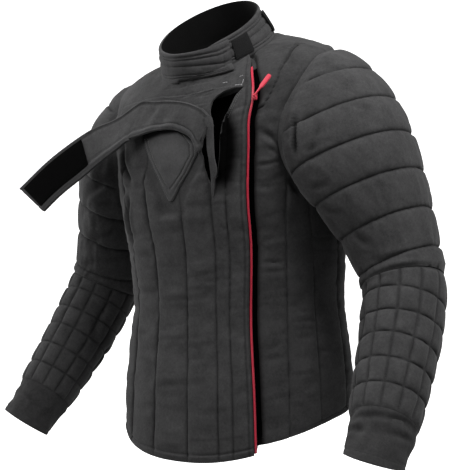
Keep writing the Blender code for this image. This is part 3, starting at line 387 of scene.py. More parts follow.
# Throat strap: its two long edges as pairs of turn and height on the body, then free of it as pairs of points
STRAP_ON_BODY = (
    # outer turn, up   inner turn, up   proud
    (20.0, 0.480, 16.8, 0.479, 0.0084),
    (18.6, 0.500, 15.2, 0.452, 0.0085),
    (15.4, 0.524, 13.9, 0.424, 0.0087),
    (10.8, 0.551, 9.6, 0.456, 0.0092),
    (4.8, 0.573, 2.4, 0.484, 0.0098),
    (-3.0, 0.585, -4.0, 0.486, 0.0105),
    (-12.0, 0.584, -11.5, 0.475, 0.0118),
    (-20.0, 0.576, -18.5, 0.465, 0.0150),
)
STRAP_IN_AIR = (
    # outer x, y, z            inner x, y, z
    (-0.114, -0.115, -0.098, -0.084, -0.132, -0.148),
    (-0.163, -0.125, -0.113, -0.130, -0.136, -0.167),
    (-0.213, -0.132, -0.135, -0.181, -0.141, -0.196),
    (-0.257, -0.138, -0.159, -0.218, -0.145, -0.217),
    (-0.325, -0.145, -0.204, -0.259, -0.150, -0.246),
)
STRAP_THICKNESS = 0.0045
STRAP_ROLL = 0.0015
HOOK_PATCH_ALONG, HOOK_PATCH_ACROSS = (0.66, 0.985), (0.13, 0.88)
HOOK_THICKNESS = 0.0016


def strap_edges():
    outer, inner = [], []
    for outer_turn, outer_up, inner_turn, inner_up, proud in STRAP_ON_BODY:
        for edge, turn, up in ((outer, outer_turn, outer_up), (inner, inner_turn, inner_up)):
            edge.append(body(turn, up) + body_normal(turn, up) * proud)
    for row in STRAP_IN_AIR:
        outer.append(np.array(row[:3]))
        inner.append(np.array(row[3:]))
    return np.array(outer), np.array(inner)


def strap(along, across):
    """Point of the strap's face, along from its root to its free end, across from its inner to outer edge."""
    along, across = np.broadcast_arrays(np.asarray(along, float), np.asarray(across, float))
    outer, inner = strap_edges()
    middle = (outer + inner) / 2
    length = np.concatenate([[0], np.cumsum(np.linalg.norm(np.diff(middle, axis=0), axis=1))])
    knots = length / length[-1]
    low, high = spline(knots, inner, along), spline(knots, outer, along)
    return low + (high - low) * across[..., None]


def strap_normal(along, across):
    return -normals(strap, along, across, 0.01, 0.05)


# Pointed chest patch over a flat place in the right front: its two edges as turns at each height
PATCH_ROWS = np.array([
    # up    right   left of the wearer
    (0.335, -1.5, -0.1),
    (0.358, -4.1, 2.9),
    (0.384, -7.0, 7.6),
    (0.417, -10.4, 11.7),
    (0.445, -12.9, 11.0),
    (0.470, -14.6, 8.0),
    (0.488, -14.2, 5.0),
])
PATCH_THICKNESS, PATCH_PUFF = 0.0020, 0.0024
PATCH_MARGIN_TURN, PATCH_MARGIN_UP = 3.0, 0.012


def under_patch(turn, up):
    """1 where the patch lies, fading to 0 round it."""
    low, high = PATCH_ROWS[0, 0], PATCH_ROWS[-1, 0]
    left, right = (np.interp(up, PATCH_ROWS[:, 0], PATCH_ROWS[:, k]) for k in (1, 2))
    inside = np.minimum(turn - left, right - turn) / PATCH_MARGIN_TURN + 2.2
    height = np.minimum(up - low, high - up) / PATCH_MARGIN_UP + 2.6
    return smooth(inside) * smooth(height)


# Zip: its chain's face and back over the cloth, its upper end, and where its tape starts and how wide it is
CHAIN_TOP, CHAIN_BOTTOM, CHAIN_END = 0.0008, -0.0024, 0.605
ZIP_START, TAPE_WIDE = 0.0009, 0.0034


def metres_round(turn, up):
    """Metres round the body for one degree of turn."""
    return np.linalg.norm(body(turn + 0.5, up) - body(turn - 0.5, up), axis=-1)


# Slider and pull, at one place on the zip
SLIDER_UP = 0.526
SLIDER_STAND, SLIDER_TALL, EYE_OUTER, EYE_PLAY = 0.0017, 0.0026, 0.0026, 0.0004
HINGE_HEIGHT = SLIDER_STAND + SLIDER_TALL + EYE_OUTER + EYE_PLAY
PULL_TARGET = (50.5, 0.552)

# Relief of the cloth over its plain form
TORSO_PUFF, ARM_PUFF, FOREARM_PUFF = 0.0030, 0.0042, 0.0030
GROOVE, GROOVE_LINE, TURN_IN = 0.0009, 0.0016, 0.0030
HEM_BAND = 0.0085
# Metres round the hem and round the chest for one degree of turn
HEM_METRES, CHEST_METRES = 0.0029, 0.0026
STEP = 0.003
FLAT_SINK, CUFF_CRUMPLE = 0.0011, 0.0024


NOISE = {}


def noise(x, y, seed=1):
    """Smooth seeded noise from -1 to 1, one bump for each unit of x and y."""
    if seed not in NOISE:
        NOISE[seed] = np.random.default_rng(seed).uniform(-1, 1, (64, 64))
    table = NOISE[seed]
    x, y = np.broadcast_arrays(np.asarray(x, float), np.asarray(y, float))
    i, j = np.floor(x).astype(int), np.floor(y).astype(int)
    fx, fy = smooth(x - i), smooth(y - j)
    a, b = table[i % 64, j % 64], table[(i + 1) % 64, j % 64]
    c, d = table[i % 64, (j + 1) % 64], table[(i + 1) % 64, (j + 1) % 64]
    return (a + (b - a) * fx) * (1 - fy) + (c + (d - c) * fx) * fy


def quilted(distance, span):
    """Height of padded cloth, from 0 on its stitch lines to 1 in mid channel."""
    rise = 1 - np.exp(-distance / TURN_IN)
    crown = 1 - (1 - np.clip(2 * distance / span, 0, 1)) ** 2
    return 0.62 * rise + 0.38 * crown


def trough(distance, width):
    """1 on a line, fading over the width to 0 beside it."""
    return np.exp(-(distance / width) ** 2)


def crease_depth(points, creases, surface):
    """Sum of the soft troughs and ridges of a table over the points.

    Each row has two ends in the surface's own two parameters, a bow to one side in metres, a half width and a
    depth, which is positive for a ridge.
    """
    total = np.zeros(points.shape[:-1])
    flat_points = points.reshape(-1, 3)
    for a0, b0, a1, b1, bow, width, depth in creases:
        f = np.linspace(0, 1, 9)
        line = surface(a0 + (a1 - a0) * f, b0 + (b1 - b0) * f)
        across = unit(np.cross(line[-1] - line[0], line[4]))
        line = line + across * (bow * np.sin(np.pi * f))[:, None]
        length = np.linalg.norm(line[-1] - line[0])
        near = np.linalg.norm(flat_points - line[4], axis=1) < length / 2 + abs(bow) + 3 * width
        near_points = flat_points[near]
        best = np.full(len(near_points), 1e9)
        place = np.zeros(len(near_points))
        for k in range(8):
            step = line[k + 1] - line[k]
            share = np.clip(((near_points - line[k]) @ step) / (step @ step), 0, 1)
            gap = np.linalg.norm(near_points - line[k] - share[:, None] * step, axis=1)
            closer = gap < best
            best = np.where(closer, gap, best)
            place = np.where(closer, (k + share) / 8, place)
        taper = np.sin(np.pi * np.clip(place, 0.02, 0.98)) ** 0.7
        drop = np.exp(-(best / width) ** 2) * taper
        drop -= 0.35 * np.exp(-((best - 2.0 * width) / width) ** 2) * taper
        values = np.zeros(len(flat_points))
        values[near] = depth * drop
        total += values.reshape(total.shape)
    return total


# Creases of the body: turn and height of both ends, bow, half width and depth
BODY_CREASES = (
    (1.8, 0.220, 18.5, 0.225, 0.003, 0.0035, -0.0016),
    (-11.8, 0.236, -1.8, 0.232, -0.002, 0.0030, -0.0013),
    (44.0, 0.223, 58.5, 0.225, 0.003, 0.0040, -0.0022),
    (43.5, 0.237, 57.0, 0.231, -0.003, 0.0040, -0.0018),
    (44.0, 0.269, 59.2, 0.274, 0.002, 0.0035, -0.0014),
    (43.8, 0.103, 55.8, 0.106, 0.003, 0.0045, -0.0020),
    (44.0, 0.449, 58.0, 0.402, -0.004, 0.0046, -0.0050),
    (42.4, 0.386, 58.6, 0.395, 0.004, 0.0030, -0.0040),
    (49.0, 0.413, 57.0, 0.402, 0.002, 0.0034, -0.0026),
    (42.2, 0.350, 52.0, 0.353, 0.003, 0.0045, -0.0020),
    (44.0, 0.185, 66.0, 0.186, -0.004, 0.0035, -0.0013),
    (60.0, 0.139, 76.2, 0.136, 0.003, 0.0040, -0.0018),
    (58.8, 0.078, 74.2, 0.075, 0.002, 0.0035, -0.0014),
    (41.8, 0.056, 63.2, 0.053, -0.003, 0.0040, -0.0012),
    (79.2, 0.159, 98.2, 0.149, 0.003, 0.0050, -0.0024),
    (79.5, 0.252, 96.5, 0.234, 0.004, 0.0050, -0.0022),
    (82.5, 0.207, 100.0, 0.199, -0.003, 0.0045, -0.0022),
    (76.8, 0.104, 94.0, 0.095, 0.003, 0.0045, -0.0018),
    (-12.5, 0.188, 17.5, 0.193, 0.003, 0.0040, -0.0012),
    (-19.8, 0.132, 14.5, 0.141, -0.003, 0.0040, -0.0014),
    (-16.8, 0.074, 17.5, 0.086, 0.004, 0.0045, -0.0012),
    (5.0, 0.051, 27.8, 0.053, 0.002, 0.0035, -0.0012),
    (-42.2, 0.261, -17.0, 0.251, 0.004, 0.0050, -0.0022),
    (-49.5, 0.197, -16.0, 0.197, -0.004, 0.0050, -0.0020),
    (-54.0, 0.134, -20.2, 0.141, 0.004, 0.0045, -0.0018),
    (-34.8, 0.446, -26.6, 0.372, 0.006, 0.0065, -0.0105),
    (-30.0, 0.352, -37.0, 0.270, 0.005, 0.0070, -0.0070),
    (60.5, 0.372, 70.0, 0.330, 0.004, 0.0060, -0.0060),
    (-95.0, 0.240, -74.0, 0.256, 0.004, 0.0055, -0.0026),
    (-99.0, 0.165, -78.0, 0.152, -0.004, 0.0055, -0.0022),
    (132.0, 0.262, 168.0, 0.250, 0.005, 0.0060, -0.0026),
    (150.0, 0.206, 188.0, 0.214, -0.004, 0.0050, -0.0020),
    (186.0, 0.240, 226.0, 0.254, 0.005, 0.0060, -0.0026),
    (176.0, 0.150, 205.0, 0.142, 0.004, 0.0050, -0.0018),
    (140.0, 0.110, 172.0, 0.120, -0.004, 0.0045, -0.0016),
    (205.0, 0.100, 232.0, 0.094, 0.004, 0.0045, -0.0016),
    (138.0, 0.420, 158.0, 0.350, 0.006, 0.0080, -0.0030),
    (222.0, 0.425, 203.0, 0.352, -0.006, 0.0080, -0.0030),
)
# Creases of the upper sleeves: place round and down the arm of both ends, bow, half width and depth
ARM_CREASES = {
    1: (
        (133.5, 0.030, 168.0, 0.138, 0.000, 0.0016, -0.0022),
        (97.5, 0.251, 118.0, 0.311, 0.004, 0.0045, -0.0020),
        (112.0, 0.083, 84.5, 0.170, 0.0004, 0.0036, -0.0085),
        (106.0, 0.046, 89.0, 0.090, 0.002, 0.0036, -0.0022),
        (106.5, 0.072, 90.0, 0.110, 0.002, 0.0034, -0.0030),
        (116.0, 0.226, 93.0, 0.250, -0.005, 0.0052, -0.0040),
        (68.0, 0.303, 88.5, 0.425, 0.004, 0.0050, -0.0024),
        (60.0, 0.393, 80.0, 0.580, 0.004, 0.0055, -0.0026),
        (63.5, 0.494, 62.0, 0.700, 0.008, 0.0060, -0.0034),
        (44.0, 0.779, 66.0, 0.960, 0.006, 0.0060, -0.0032),
        (80.0, 0.657, 94.0, 0.830, 0.006, 0.0060, -0.0026),
        (30.0, 0.450, 44.0, 0.690, 0.007, 0.0070, -0.0036),
        (86.0, 0.930, 150.0, 0.955, 0.004, 0.0050, -0.0022),
        (142.0, 0.241, 157.0, 0.360, 0.004, 0.0050, -0.0012),
        (200.0, 0.420, 240.0, 0.520, 0.006, 0.0060, -0.0024),
        (250.0, 0.640, 290.0, 0.800, 0.006, 0.0060, -0.0026),
        (300.0, 0.420, 330.0, 0.640, 0.006, 0.0070, -0.0030),
    ),
    -1: (
        (96.0, 0.040, 84.5, 0.223, 0.006, 0.0070, -0.0036),
        (76.0, 0.060, 94.0, 0.444, 0.010, 0.0080, -0.0036),
        (52.0, 0.120, 108.0, 0.600, 0.012, 0.0080, -0.0030),
        (34.0, 0.300, 88.0, 0.760, 0.010, 0.0075, -0.0036),
        (26.0, 0.619, 92.0, 0.930, 0.008, 0.0070, -0.0032),
        (114.5, 0.113, 99.0, 0.246, 0.004, 0.0060, -0.0024),
        (200.0, 0.430, 236.0, 0.560, 0.006, 0.0060, -0.0024),
        (255.0, 0.620, 292.0, 0.760, 0.006, 0.0060, -0.0026),
        (305.0, 0.400, 332.0, 0.660, 0.006, 0.0070, -0.0030),
    ),
}
FOREARM_CREASES = {
    1: (
        (41.0, 0.118, 68.5, 0.190, 0.005, 0.0060, -0.0026),
        (300.0, 0.120, 340.0, 0.170, 0.005, 0.0060, -0.0026),
    ),
    -1: (
        (30.0, 0.130, 10.0, 0.200, 0.005, 0.0060, -0.0026),
        (310.0, 0.150, 345.0, 0.200, 0.005, 0.0060, -0.0024),
    ),
}
# Top edge of the throat flap, over the right front
FLAP_TURN = (-44.2, -26.2, -13.2, 10.5, 23.8, 32.5, 37.2)
FLAP_UP = (0.538, 0.592, 0.607, 0.606, 0.600, 0.583, 0.568)
# Dip of the cloth beside the open throat: depth, middle, width and heights
DIP_DEPTH, DIP_TURN, DIP_WIDE = 0.0100, 18.6, 12.0
DIP_UP = (0.325, 0.375, 0.500, 0.560)
# Row of stitches across the right front over its hem
STITCH_TURN, STITCH_UP = (4.2, 33.8), 0.0250
# Outer edge of the painted shade beside the open throat
THROAT_SHADE_UP = (0.330, 0.347, 0.380, 0.417, 0.461, 0.500, 0.521, 0.540)
THROAT_SHADE_TURN = (24.0, 27.2, 30.5, 32.5, 31.2, 27.8, 25.5, 21.0)
# Yoke seam of the left front, and where its upright quilting ends
YOKE_TURN = (44.5, 51.0, 58.0, 65.0, 79.0, 97.8)
YOKE_UP = (0.499, 0.535, 0.561, 0.572, 0.590, 0.604)
QUILT_TURN, QUILT_UP = (50.0, 58.0, 64.0), (0.490, 0.455, 0.430)
BACK_YOKE_UP, FRONT_QUILT_UP = 0.572, 0.515
# Lower edge of the throat strap, over the right front
STRAP_EDGE_TURN = (-18.5, -11.5, -4.0, 2.4, 9.6, 14.6)
STRAP_EDGE_UP = (0.465, 0.475, 0.486, 0.484, 0.456, 0.427)
WRINKLE = 0.0013
# Painted shade as shares of black in stitch grooves and at the bottom of creases, the width of the grooves'
# painted shade, and the cloth's rounding down at the armholes
GROOVE_DARK, CREASE_DARK, GROOVE_WIDE, ARMHOLE_ROUND = 0.38, 0.66, 0.0021, 0.0016


def yoke_line(name, turn):
    """Height of the seam over the quilted part of a body piece."""
    return np.interp(turn, YOKE_TURN, YOKE_UP) if name == "left_front" else np.full(turn.shape, BACK_YOKE_UP)


def quilt_top(name, turn):
    """Height where the upright quilting of a body piece ends."""
    if name == "left_front":
        return np.interp(turn, QUILT_TURN, QUILT_UP)
    return np.full(turn.shape, BACK_YOKE_UP if name == "back" else FRONT_QUILT_UP)


def wrinkles(x, y, seed):
    """1 on thin wavy lines that cross a piece here and there, 0 between them."""
    wave = noise(x, y + noise(x * 0.6, y * 0.27, seed) * 0.9, seed + 1)
    place = smooth(noise(x * 0.5, y * 0.31, seed + 2) * 1.5 + 0.35)
    return np.exp(-(wave / 0.13) ** 2) * place


def strap_shadow(turn, up):
    """Share of darkness close under the throat strap's lower edge."""
    below = np.interp(turn, STRAP_EDGE_TURN, STRAP_EDGE_UP) - up
    within = smooth((turn - STRAP_EDGE_TURN[0]) / 3) * smooth((STRAP_EDGE_TURN[-1] + 2 - turn) / 2)
    return 0.85 * smooth(1 - below / 0.013) * smooth((below + 0.045) / 0.02) * within


def throat_dip(turn, up):
    """How far the cloth beside the open throat sinks towards the body."""
    across = (turn - DIP_TURN) / DIP_WIDE
    side = np.where(across < 0, smooth(1 + across * 6), np.clip(1 - across, 0, 1) ** 1.3)
    low = smooth((up - DIP_UP[0]) / (DIP_UP[1] - DIP_UP[0]))
    return DIP_DEPTH * side * low * smooth((DIP_UP[3] - up) / (DIP_UP[3] - DIP_UP[2]))


def flap_relief(turn, up):
    """Step at the throat flap's top edge, with the turned edge's topstitching."""
    edge = np.interp(turn, FLAP_TURN, FLAP_UP)
    below = edge - up
    within = smooth((turn - FLAP_TURN[0]) / 4) * smooth((FLAP_TURN[-1] - turn) / 3)
    step = 0.0017 * smooth(below / 0.0032 + 0.5) * np.exp(-np.clip(below, 0, 1) / 0.045)
    return (step - 0.0007 * trough(below + 0.0014, 0.0016) - 0.0006 * trough(below - 0.0060, 0.0016)) * within


def armhole_clear(turn, up):
    """Rough distance in metres from the nearer armhole seam, outside it."""
    side = np.abs((turn + 180) % 360 - 180)
    reach = np.where(side < ARMHOLE_TURN, ARMHOLE_FRONT_REACH, ARMHOLE_BACK_REACH)
    round_place = np.hypot((side - ARMHOLE_TURN) / reach, (up - ARMHOLE_MIDDLE) / ARMHOLE_HALF)
    return (round_place - 1) * ARMHOLE_HALF


def channel_gap(panel, column, row, turn, up):
    """Number of the channel, its width and the distance to its nearer side, in metres."""
    channel = np.clip(np.floor(column), 0, panel.count - 1)
    low_turn, high_turn = (panel.place(channel + k, row)[0] for k in (0, 1))
    metres = metres_round(turn, up)
    span = np.abs(high_turn - low_turn) * metres
    return channel, span, np.minimum(np.abs(turn - low_turn), np.abs(high_turn - turn)) * metres


def inside_edges(turn, up):
    """1 inside a body piece, fading to 0 at its hem, neckline and armholes."""
    return smooth(up / HEM_BAND) * smooth((NECK_UP - up) / 0.008) * smooth(armhole_clear(turn, up) / 0.009)


def front_yoke(turn):
    """Where the yoke's seam is felt on the left front."""
    return smooth((96 - turn) / 4)


def back_yoke(turn):
    """Where the yoke's seam is felt across the back."""
    return smooth((turn - 118) / 14) * smooth((242 - turn) / 14)


def fold_shade(folds):
    """Share of darkness at the bottom of creases."""
    return CREASE_DARK * np.clip(-folds / 0.0045, 0, 1)


def body_relief(name, panel, column, row, turn, up, plain):
    """Height of the body's cloth over its plain form."""
    channel, span, distance = channel_gap(panel, column, row, turn, up)
    full = np.clip(span / 0.030, 0.35, 1)
    yoke = up - yoke_line(name, turn)
    fade = smooth((quilt_top(name, turn) - up) / 0.010)
    edge = inside_edges(turn, up)
    inside = smooth(distance / 0.006)
    ripple = noise(channel * 5.3 + column * 0.8, up / 0.028, 3) * 0.0014
    ripple = ripple + noise(channel * 3.1 + column * 1.2, up / 0.0098, 4) * 0.00095
    pucker = noise(channel * 9.7, up / 0.0065, 5) * 0.0008 * trough(distance, 0.008)
    broad = noise(turn / 16, up / 0.05, 6) * 0.0012
    relief = TORSO_PUFF * quilted(distance, span) * fade * full
    relief = relief + (ripple * inside * full + pucker) * (0.3 + 0.7 * fade) + broad * edge
    relief = relief - GROOVE * trough(distance, GROOVE_LINE) * fade
    relief = relief - WRINKLE * wrinkles(channel * 4.3 + column * 0.9, up / 0.017, 7) * inside * full
    if name == "back":
        relief = relief + (0.0014 * smooth(yoke / 0.004) - 0.0018 * trough(yoke, 0.0020)) * back_yoke(turn)
    if name == "left_front":
        relief = relief + (0.0016 * smooth(yoke / 0.004) - 0.0024 * trough(yoke, 0.0020)) * front_yoke(turn)
    relief = relief * (1 - plain) * edge - FLAT_SINK * plain
    relief += 0.0009 * trough(up - HEM_BAND * 0.5, 0.003) - 0.0016 * trough(up - HEM_BAND, 0.0012)
    if name == "right_front":
        relief += flap_relief(turn, up)
    return relief - ARMHOLE_ROUND * (1 - smooth(armhole_clear(turn, up) / 0.014))


def body_sink(name, turn, up, base, plain):
    """How far the whole wall of a body piece is folded inwards."""
    edge = inside_edges(turn, up)
    sink = crease_depth(base, BODY_CREASES, body) * edge * (1 - plain)
    if name == "right_front":
        sink = sink - throat_dip(turn, up)
    if name == "left_front":
        sink = sink - 0.0040 * trough(zip_side(turn, up) - 0.010, 0.0050)
    return sink


SEAM_MEET = 0.0006


def panel_surfaces(name, panel, level, flat):
    """Outer and inner surface of a body piece, as functions of its column and row."""

    def meeting(column, row):
        """Place on the body; the side edges reach over to the next piece, as sewn."""
        turn, up = panel.place(column, row)
        over = 1.0 * (column > panel.count - 0.01) * (panel.right_arm is not None)
        over = over - (column < 0.01) * (panel.left_arm is not None)
        return turn + over * SEAM_MEET / metres_round(turn, up), up

    def outer(column, row, extra=0.0):
        column, row = np.broadcast_arrays(np.asarray(column, float), np.asarray(row, float))
        turn, up = meeting(column, row)
        base, plain = body(turn, up), flat(turn, up)
        lift = level(turn, up) + body_relief(name, panel, column, row, turn, up, plain)
        lift = lift + body_sink(name, turn, up, base, plain) + extra
        return base + body_normal(turn, up) * lift[..., None]

    def inner(column, row):
        turn, up = meeting(column, row)
        base = body(turn, up)
        lift = level(turn, up) - WALL + body_sink(name, turn, up, base, flat(turn, up))
        return base + body_normal(turn, up) * lift[..., None]

    return outer, inner


def add_mesh(name, points, faces, finish, smooth_angle=60, shade=None):
    mesh = bpy.data.meshes.new(name)
    mesh.from_pydata(np.asarray(points).tolist(), [], faces if isinstance(faces, list) else faces.tolist())
    if shade is not None:
        mesh.attributes.new("shade", "FLOAT", "POINT").data.foreach_set("value", shade.ravel().tolist())
    work = bmesh.new()
    work.from_mesh(mesh)
    loose = [v for v in work.verts if not v.link_faces]
    bmesh.ops.delete(work, geom=loose, context="VERTS")
    bmesh.ops.recalc_face_normals(work, faces=work.faces)
    work.to_mesh(mesh)
    work.free()
    mesh.shade_smooth()
    mesh.set_sharp_from_angle(angle=math.radians(smooth_angle))
    mesh.materials.append(finish)
    thing = bpy.data.objects.new(name, mesh)
    bpy.context.scene.collection.objects.link(thing)
    return thing


def dense_wall(name, outer, inner, finish, shade=None, around=False, blocks=None):
    """Closed wall between a dense outer grid and an inner grid of every second point, over the present cells.

    blocks has one cell for each two by two quads of the outer grid; without it all cells are present.
    """
    rows, columns = outer.shape[:2]
    if blocks is None:
        blocks = np.ones((rows // 2, columns // 2), bool)
    count = rows * columns
    points = np.concatenate([outer.reshape(-1, 3), inner.reshape(-1, 3)])
    i, j = np.nonzero(blocks)
    top, left = 2 * i, 2 * j

    def at(a, b):
        return a * columns + b % columns

    quads = []
    for a in (0, 1):
        for b in (0, 1):
            quads.append(np.stack([at(top + a, left + b), at(top + a, left + b + 1),
                                   at(top + a + 1, left + b + 1), at(top + a + 1, left + b)], axis=1))
    quads.append(count + np.stack([at(top, left), at(top + 2, left),
                                   at(top + 2, left + 2), at(top, left + 2)], axis=1))
    rims = []
    padded = np.pad(blocks, 1)
    if around:
        padded[1:-1, 0], padded[1:-1, -1] = blocks[:, -1], blocks[:, 0]
    for (di, dj), (a0, b0), (down, across) in (((-1, 0), (0, 0), (0, 1)), ((1, 0), (2, 0), (0, 1)),
                                               ((0, -1), (0, 0), (1, 0)), ((0, 1), (0, 2), (1, 0))):
        free = ~padded[1 + i + di, 1 + j + dj]
        a, b = top[free] + a0, left[free] + b0
        one, middle, end = at(a, b), at(a + down, b + across), at(a + 2 * down, b + 2 * across)
        rims.append(np.stack([count + one, one, middle], axis=1))
        rims.append(np.stack([count + one, middle, count + end], axis=1))
        rims.append(np.stack([count + end, middle, end], axis=1))
    faces = np.concatenate(quads).tolist() + np.concatenate(rims).tolist()
    if shade is not None:
        shade = np.concatenate([shade.ravel(), np.zeros(count)])
    return add_mesh(name, points, faces, finish, shade=shade)


def even(count):
    return max(2, 2 * int(round(count / 2)))


def line_steps(length):
    """Places along one channel of the given width, closer together beside its stitch lines."""
    near, far = min(0.0013 / length, 0.12), min(0.0034 / length, 0.3)
    between = even((length * (1 - 2 * far)) / STEP)
    return np.concatenate([[0, near], np.linspace(far, 1 - far, between + 1), [1 - near]])


def dense_steps(lengths):
    """Places along a run of channels, two close steps at each side of a stitch line."""
    places = [k + line_steps(length) for k, length in enumerate(lengths)]
    return np.concatenate(places + [[len(lengths)]])


def body_painted_shade(name, turn, up):
    """Share of painted shade in a body piece: beside the open throat, close under the strap, in the zip's
    gutter on the left front and a little all over it, and darker lines at the yoke seam, the zip's
    topstitching and the hem's stitch row.
    """
    if name == "right_front":
        # Painted shade in the sunken cloth beside the open throat, near black by the strap's leg and fading
        # towards the zip
        edge = np.interp(up, THROAT_SHADE_UP, THROAT_SHADE_TURN)
        beside = np.where(turn < DIP_TURN, 0, smooth((edge + 4.5 - turn) / 7.5))
        beside = beside * smooth((up - DIP_UP[0]) / 0.045)
        # Darker lines along the zip's topstitching and the hem's stitch row
        lines = 0.45 * trough(zip_side(turn, up) + 0.0060, 0.0012)
        hem = smooth((turn - STITCH_TURN[0]) / 2) * smooth((STITCH_TURN[1] - turn) / 2)
        lines = np.maximum(lines, 0.42 * hem * trough(up - STITCH_UP, 0.0013))
        return np.max([0.97 * beside * smooth((0.545 - up) / 0.03), strap_shadow(turn, up), lines], axis=0)
    yoke = trough(up - yoke_line(name, turn), 0.0024)
    if name == "left_front":
        # Painted shadow of the right front's edge in the zip's gutter, and painted shade of 0.20 all over the
        # left front
        zip_shadow = 0.95 * smooth((0.0210 - zip_side(turn, up)) / 0.0130) * smooth((0.614 - up) / 0.012)
        return np.maximum(np.maximum(zip_shadow, 0.20), 0.62 * yoke * front_yoke(turn))
    return 0.5 * yoke * back_yoke(turn)


def dense_panel(name, panel, level, flat, finish):
    """Cloth of one body piece, and its outer surface as a function of column and row."""
    widths = [HEM_METRES * (b - a) for a, b in zip(panel.hem, panel.hem[1:])]
    columns = dense_steps(widths)
    low, mid, high = LOW_ROWS, LOW_ROWS + MID_ROWS, TOP_ROW
    spans = ((0, low, LOW_CORNER_UP), (low, mid, HIGH_CORNER_UP - LOW_CORNER_UP),
             (mid, high, NECK_UP - HIGH_CORNER_UP))
    rows = np.concatenate([start + (end - start) * np.arange(n) / n
                           for start, end, length in spans for n in [even(length / STEP)]] + [[high]])
    hem_ups = HEM_BAND + np.array([-0.0030, -0.0016, -0.0008, 0.0, 0.0008, 0.0016])
    hem_rows = hem_ups / LOW_CORNER_UP * low
    rows = np.concatenate([rows[:1], hem_rows[:1] * 0.5, hem_rows, rows[rows > hem_rows[-1] * 1.15]])
    if len(rows) % 2 == 0:
        rows = np.delete(rows, len(hem_rows) + 4)
    outer, inner = panel_surfaces(name, panel, level, flat)
    cells = (columns[:-2:2] + columns[2::2]) / 2
    heights = (rows[:-2:2] + rows[2::2]) / 2
    blocks = np.ones((len(heights), len(cells)), bool)
    outside = (cells < panel.first) | (cells > panel.last)
    beside = (heights > low) & (heights < mid)
    blocks[np.ix_(beside, outside)] = False
    grid = np.meshgrid(columns, rows)
    turn, up = panel.place(*grid)
    # Painted shade of the piece, from its creases, its stitch grooves and the shaded places beside the
    # throat, under the strap and along the zip
    folds = fold_shade(crease_depth(body(turn, up), BODY_CREASES, body))
    groove = trough(channel_gap(panel, *grid, turn, up)[2], GROOVE_WIDE)
    groove = groove * smooth((quilt_top(name, turn) - up) / 0.010)
    shade = np.max([body_painted_shade(name, turn, up), folds, GROOVE_DARK * groove], axis=0)
    thing = dense_wall(name + "_cloth", outer(*grid), inner(*grid), finish, shade, blocks=blocks)
    return thing, outer


# Sewing: each run of stitches is a line of points, gathered by the thread that sews it
SEWING = {}
THREAD_LIFT, TOPSTITCH_LIFT = 0.0002, 0.0003


def sew(thread, points, keep=None):
    """Lays a thread along the points, or along the runs of them that are kept."""
    keep = np.ones(len(points), bool) if keep is None else keep
    places = np.nonzero(keep)[0]
    for run in np.split(places, np.nonzero(np.diff(places) > 1)[0] + 1):
        if len(run) > 3:
            SEWING.setdefault(thread, []).append(np.asarray(points)[run])


def sheet_mesh(name, face, normal, thick, finish, rim=0.0012):
    """Closed sheet over a grid of points, with rounded edges."""
    rows, columns = face.shape[:2]
    edge_rows = np.minimum(np.arange(rows), np.arange(rows)[::-1])
    edge_columns = np.minimum(np.arange(columns), np.arange(columns)[::-1])
    near = np.minimum(edge_rows[:, None], edge_columns[None, :])
    top = face + normal * (thick - np.where(near == 0, rim, np.where(near == 1, rim * 0.25, 0)))[..., None]
    return dense_wall(name, top, face, finish)


# Shader building
class Socket:
    """A node's output, with arithmetic that makes Math nodes."""

    def __init__(self, shader, output):
        self.shader, self.output = shader, output

    def _maths(self, operation, *values):
        return self.shader.node("ShaderNodeMath", {"operation": operation}, dict(enumerate(values)))

    def __add__(self, other):
        return self._maths("ADD", self, other)

    def __sub__(self, other):
        return self._maths("SUBTRACT", self, other)

    def __rsub__(self, other):
        return self._maths("SUBTRACT", other, self)

    def __mul__(self, other):
        return self._maths("MULTIPLY", self, other)

    __radd__, __rmul__ = __add__, __mul__

    def sine(self):
        return self._maths("SINE", self)

    def at_most(self, other):
        return self._maths("MINIMUM", self, other)

    def at_least(self, other):
        return self._maths("MAXIMUM", self, other)


class Shader:
    """Material whose nodes are made one by one from a type, settings and inputs."""

    def __init__(self, name):
        self.material = bpy.data.materials.new(name)
        self.material.use_nodes = True
        self.tree = self.material.node_tree
        self.principled = self.tree.nodes["Principled BSDF"]
        self.place = self.node("ShaderNodeTexCoord", {}, {}, "Object")

    def node(self, kind, settings, inputs, output=0):
        made = self.tree.nodes.new(kind)
        for key, value in settings.items():
            setattr(made, key, value)
        for key, value in inputs.items():
            self.feed(made.inputs[key], value)
        return Socket(self, made.outputs[output])

    def feed(self, target, value):
        if isinstance(value, Socket):
            self.tree.links.new(value.output, target)
        else:
            target.default_value = value

    def set(self, **inputs):
        for key, value in inputs.items():
            self.feed(self.principled.inputs[key.replace("_", " ")], value)

    def grain(self, scale, detail=3.0, roughness=0.6, stretch=(1, 1, 1)):
        where = self.node("ShaderNodeMapping", {}, {"Vector": self.place, "Scale": stretch}, "Vector")
        values = {"Vector": where, "Scale": scale, "Detail": detail, "Roughness": roughness}
        return self.node("ShaderNodeTexNoise", {}, values, 0)

    def blend(self, factor, low, high):
        return self.node("ShaderNodeMix", {"data_type": "RGBA"}, {0: factor, 6: (*low, 1), 7: (*high, 1)}, 2)

    def bump(self, height, strength, distance):
        values = {"Height": height, "Strength": strength, "Distance": distance}
        return self.node("ShaderNodeBump", {}, values, 0)


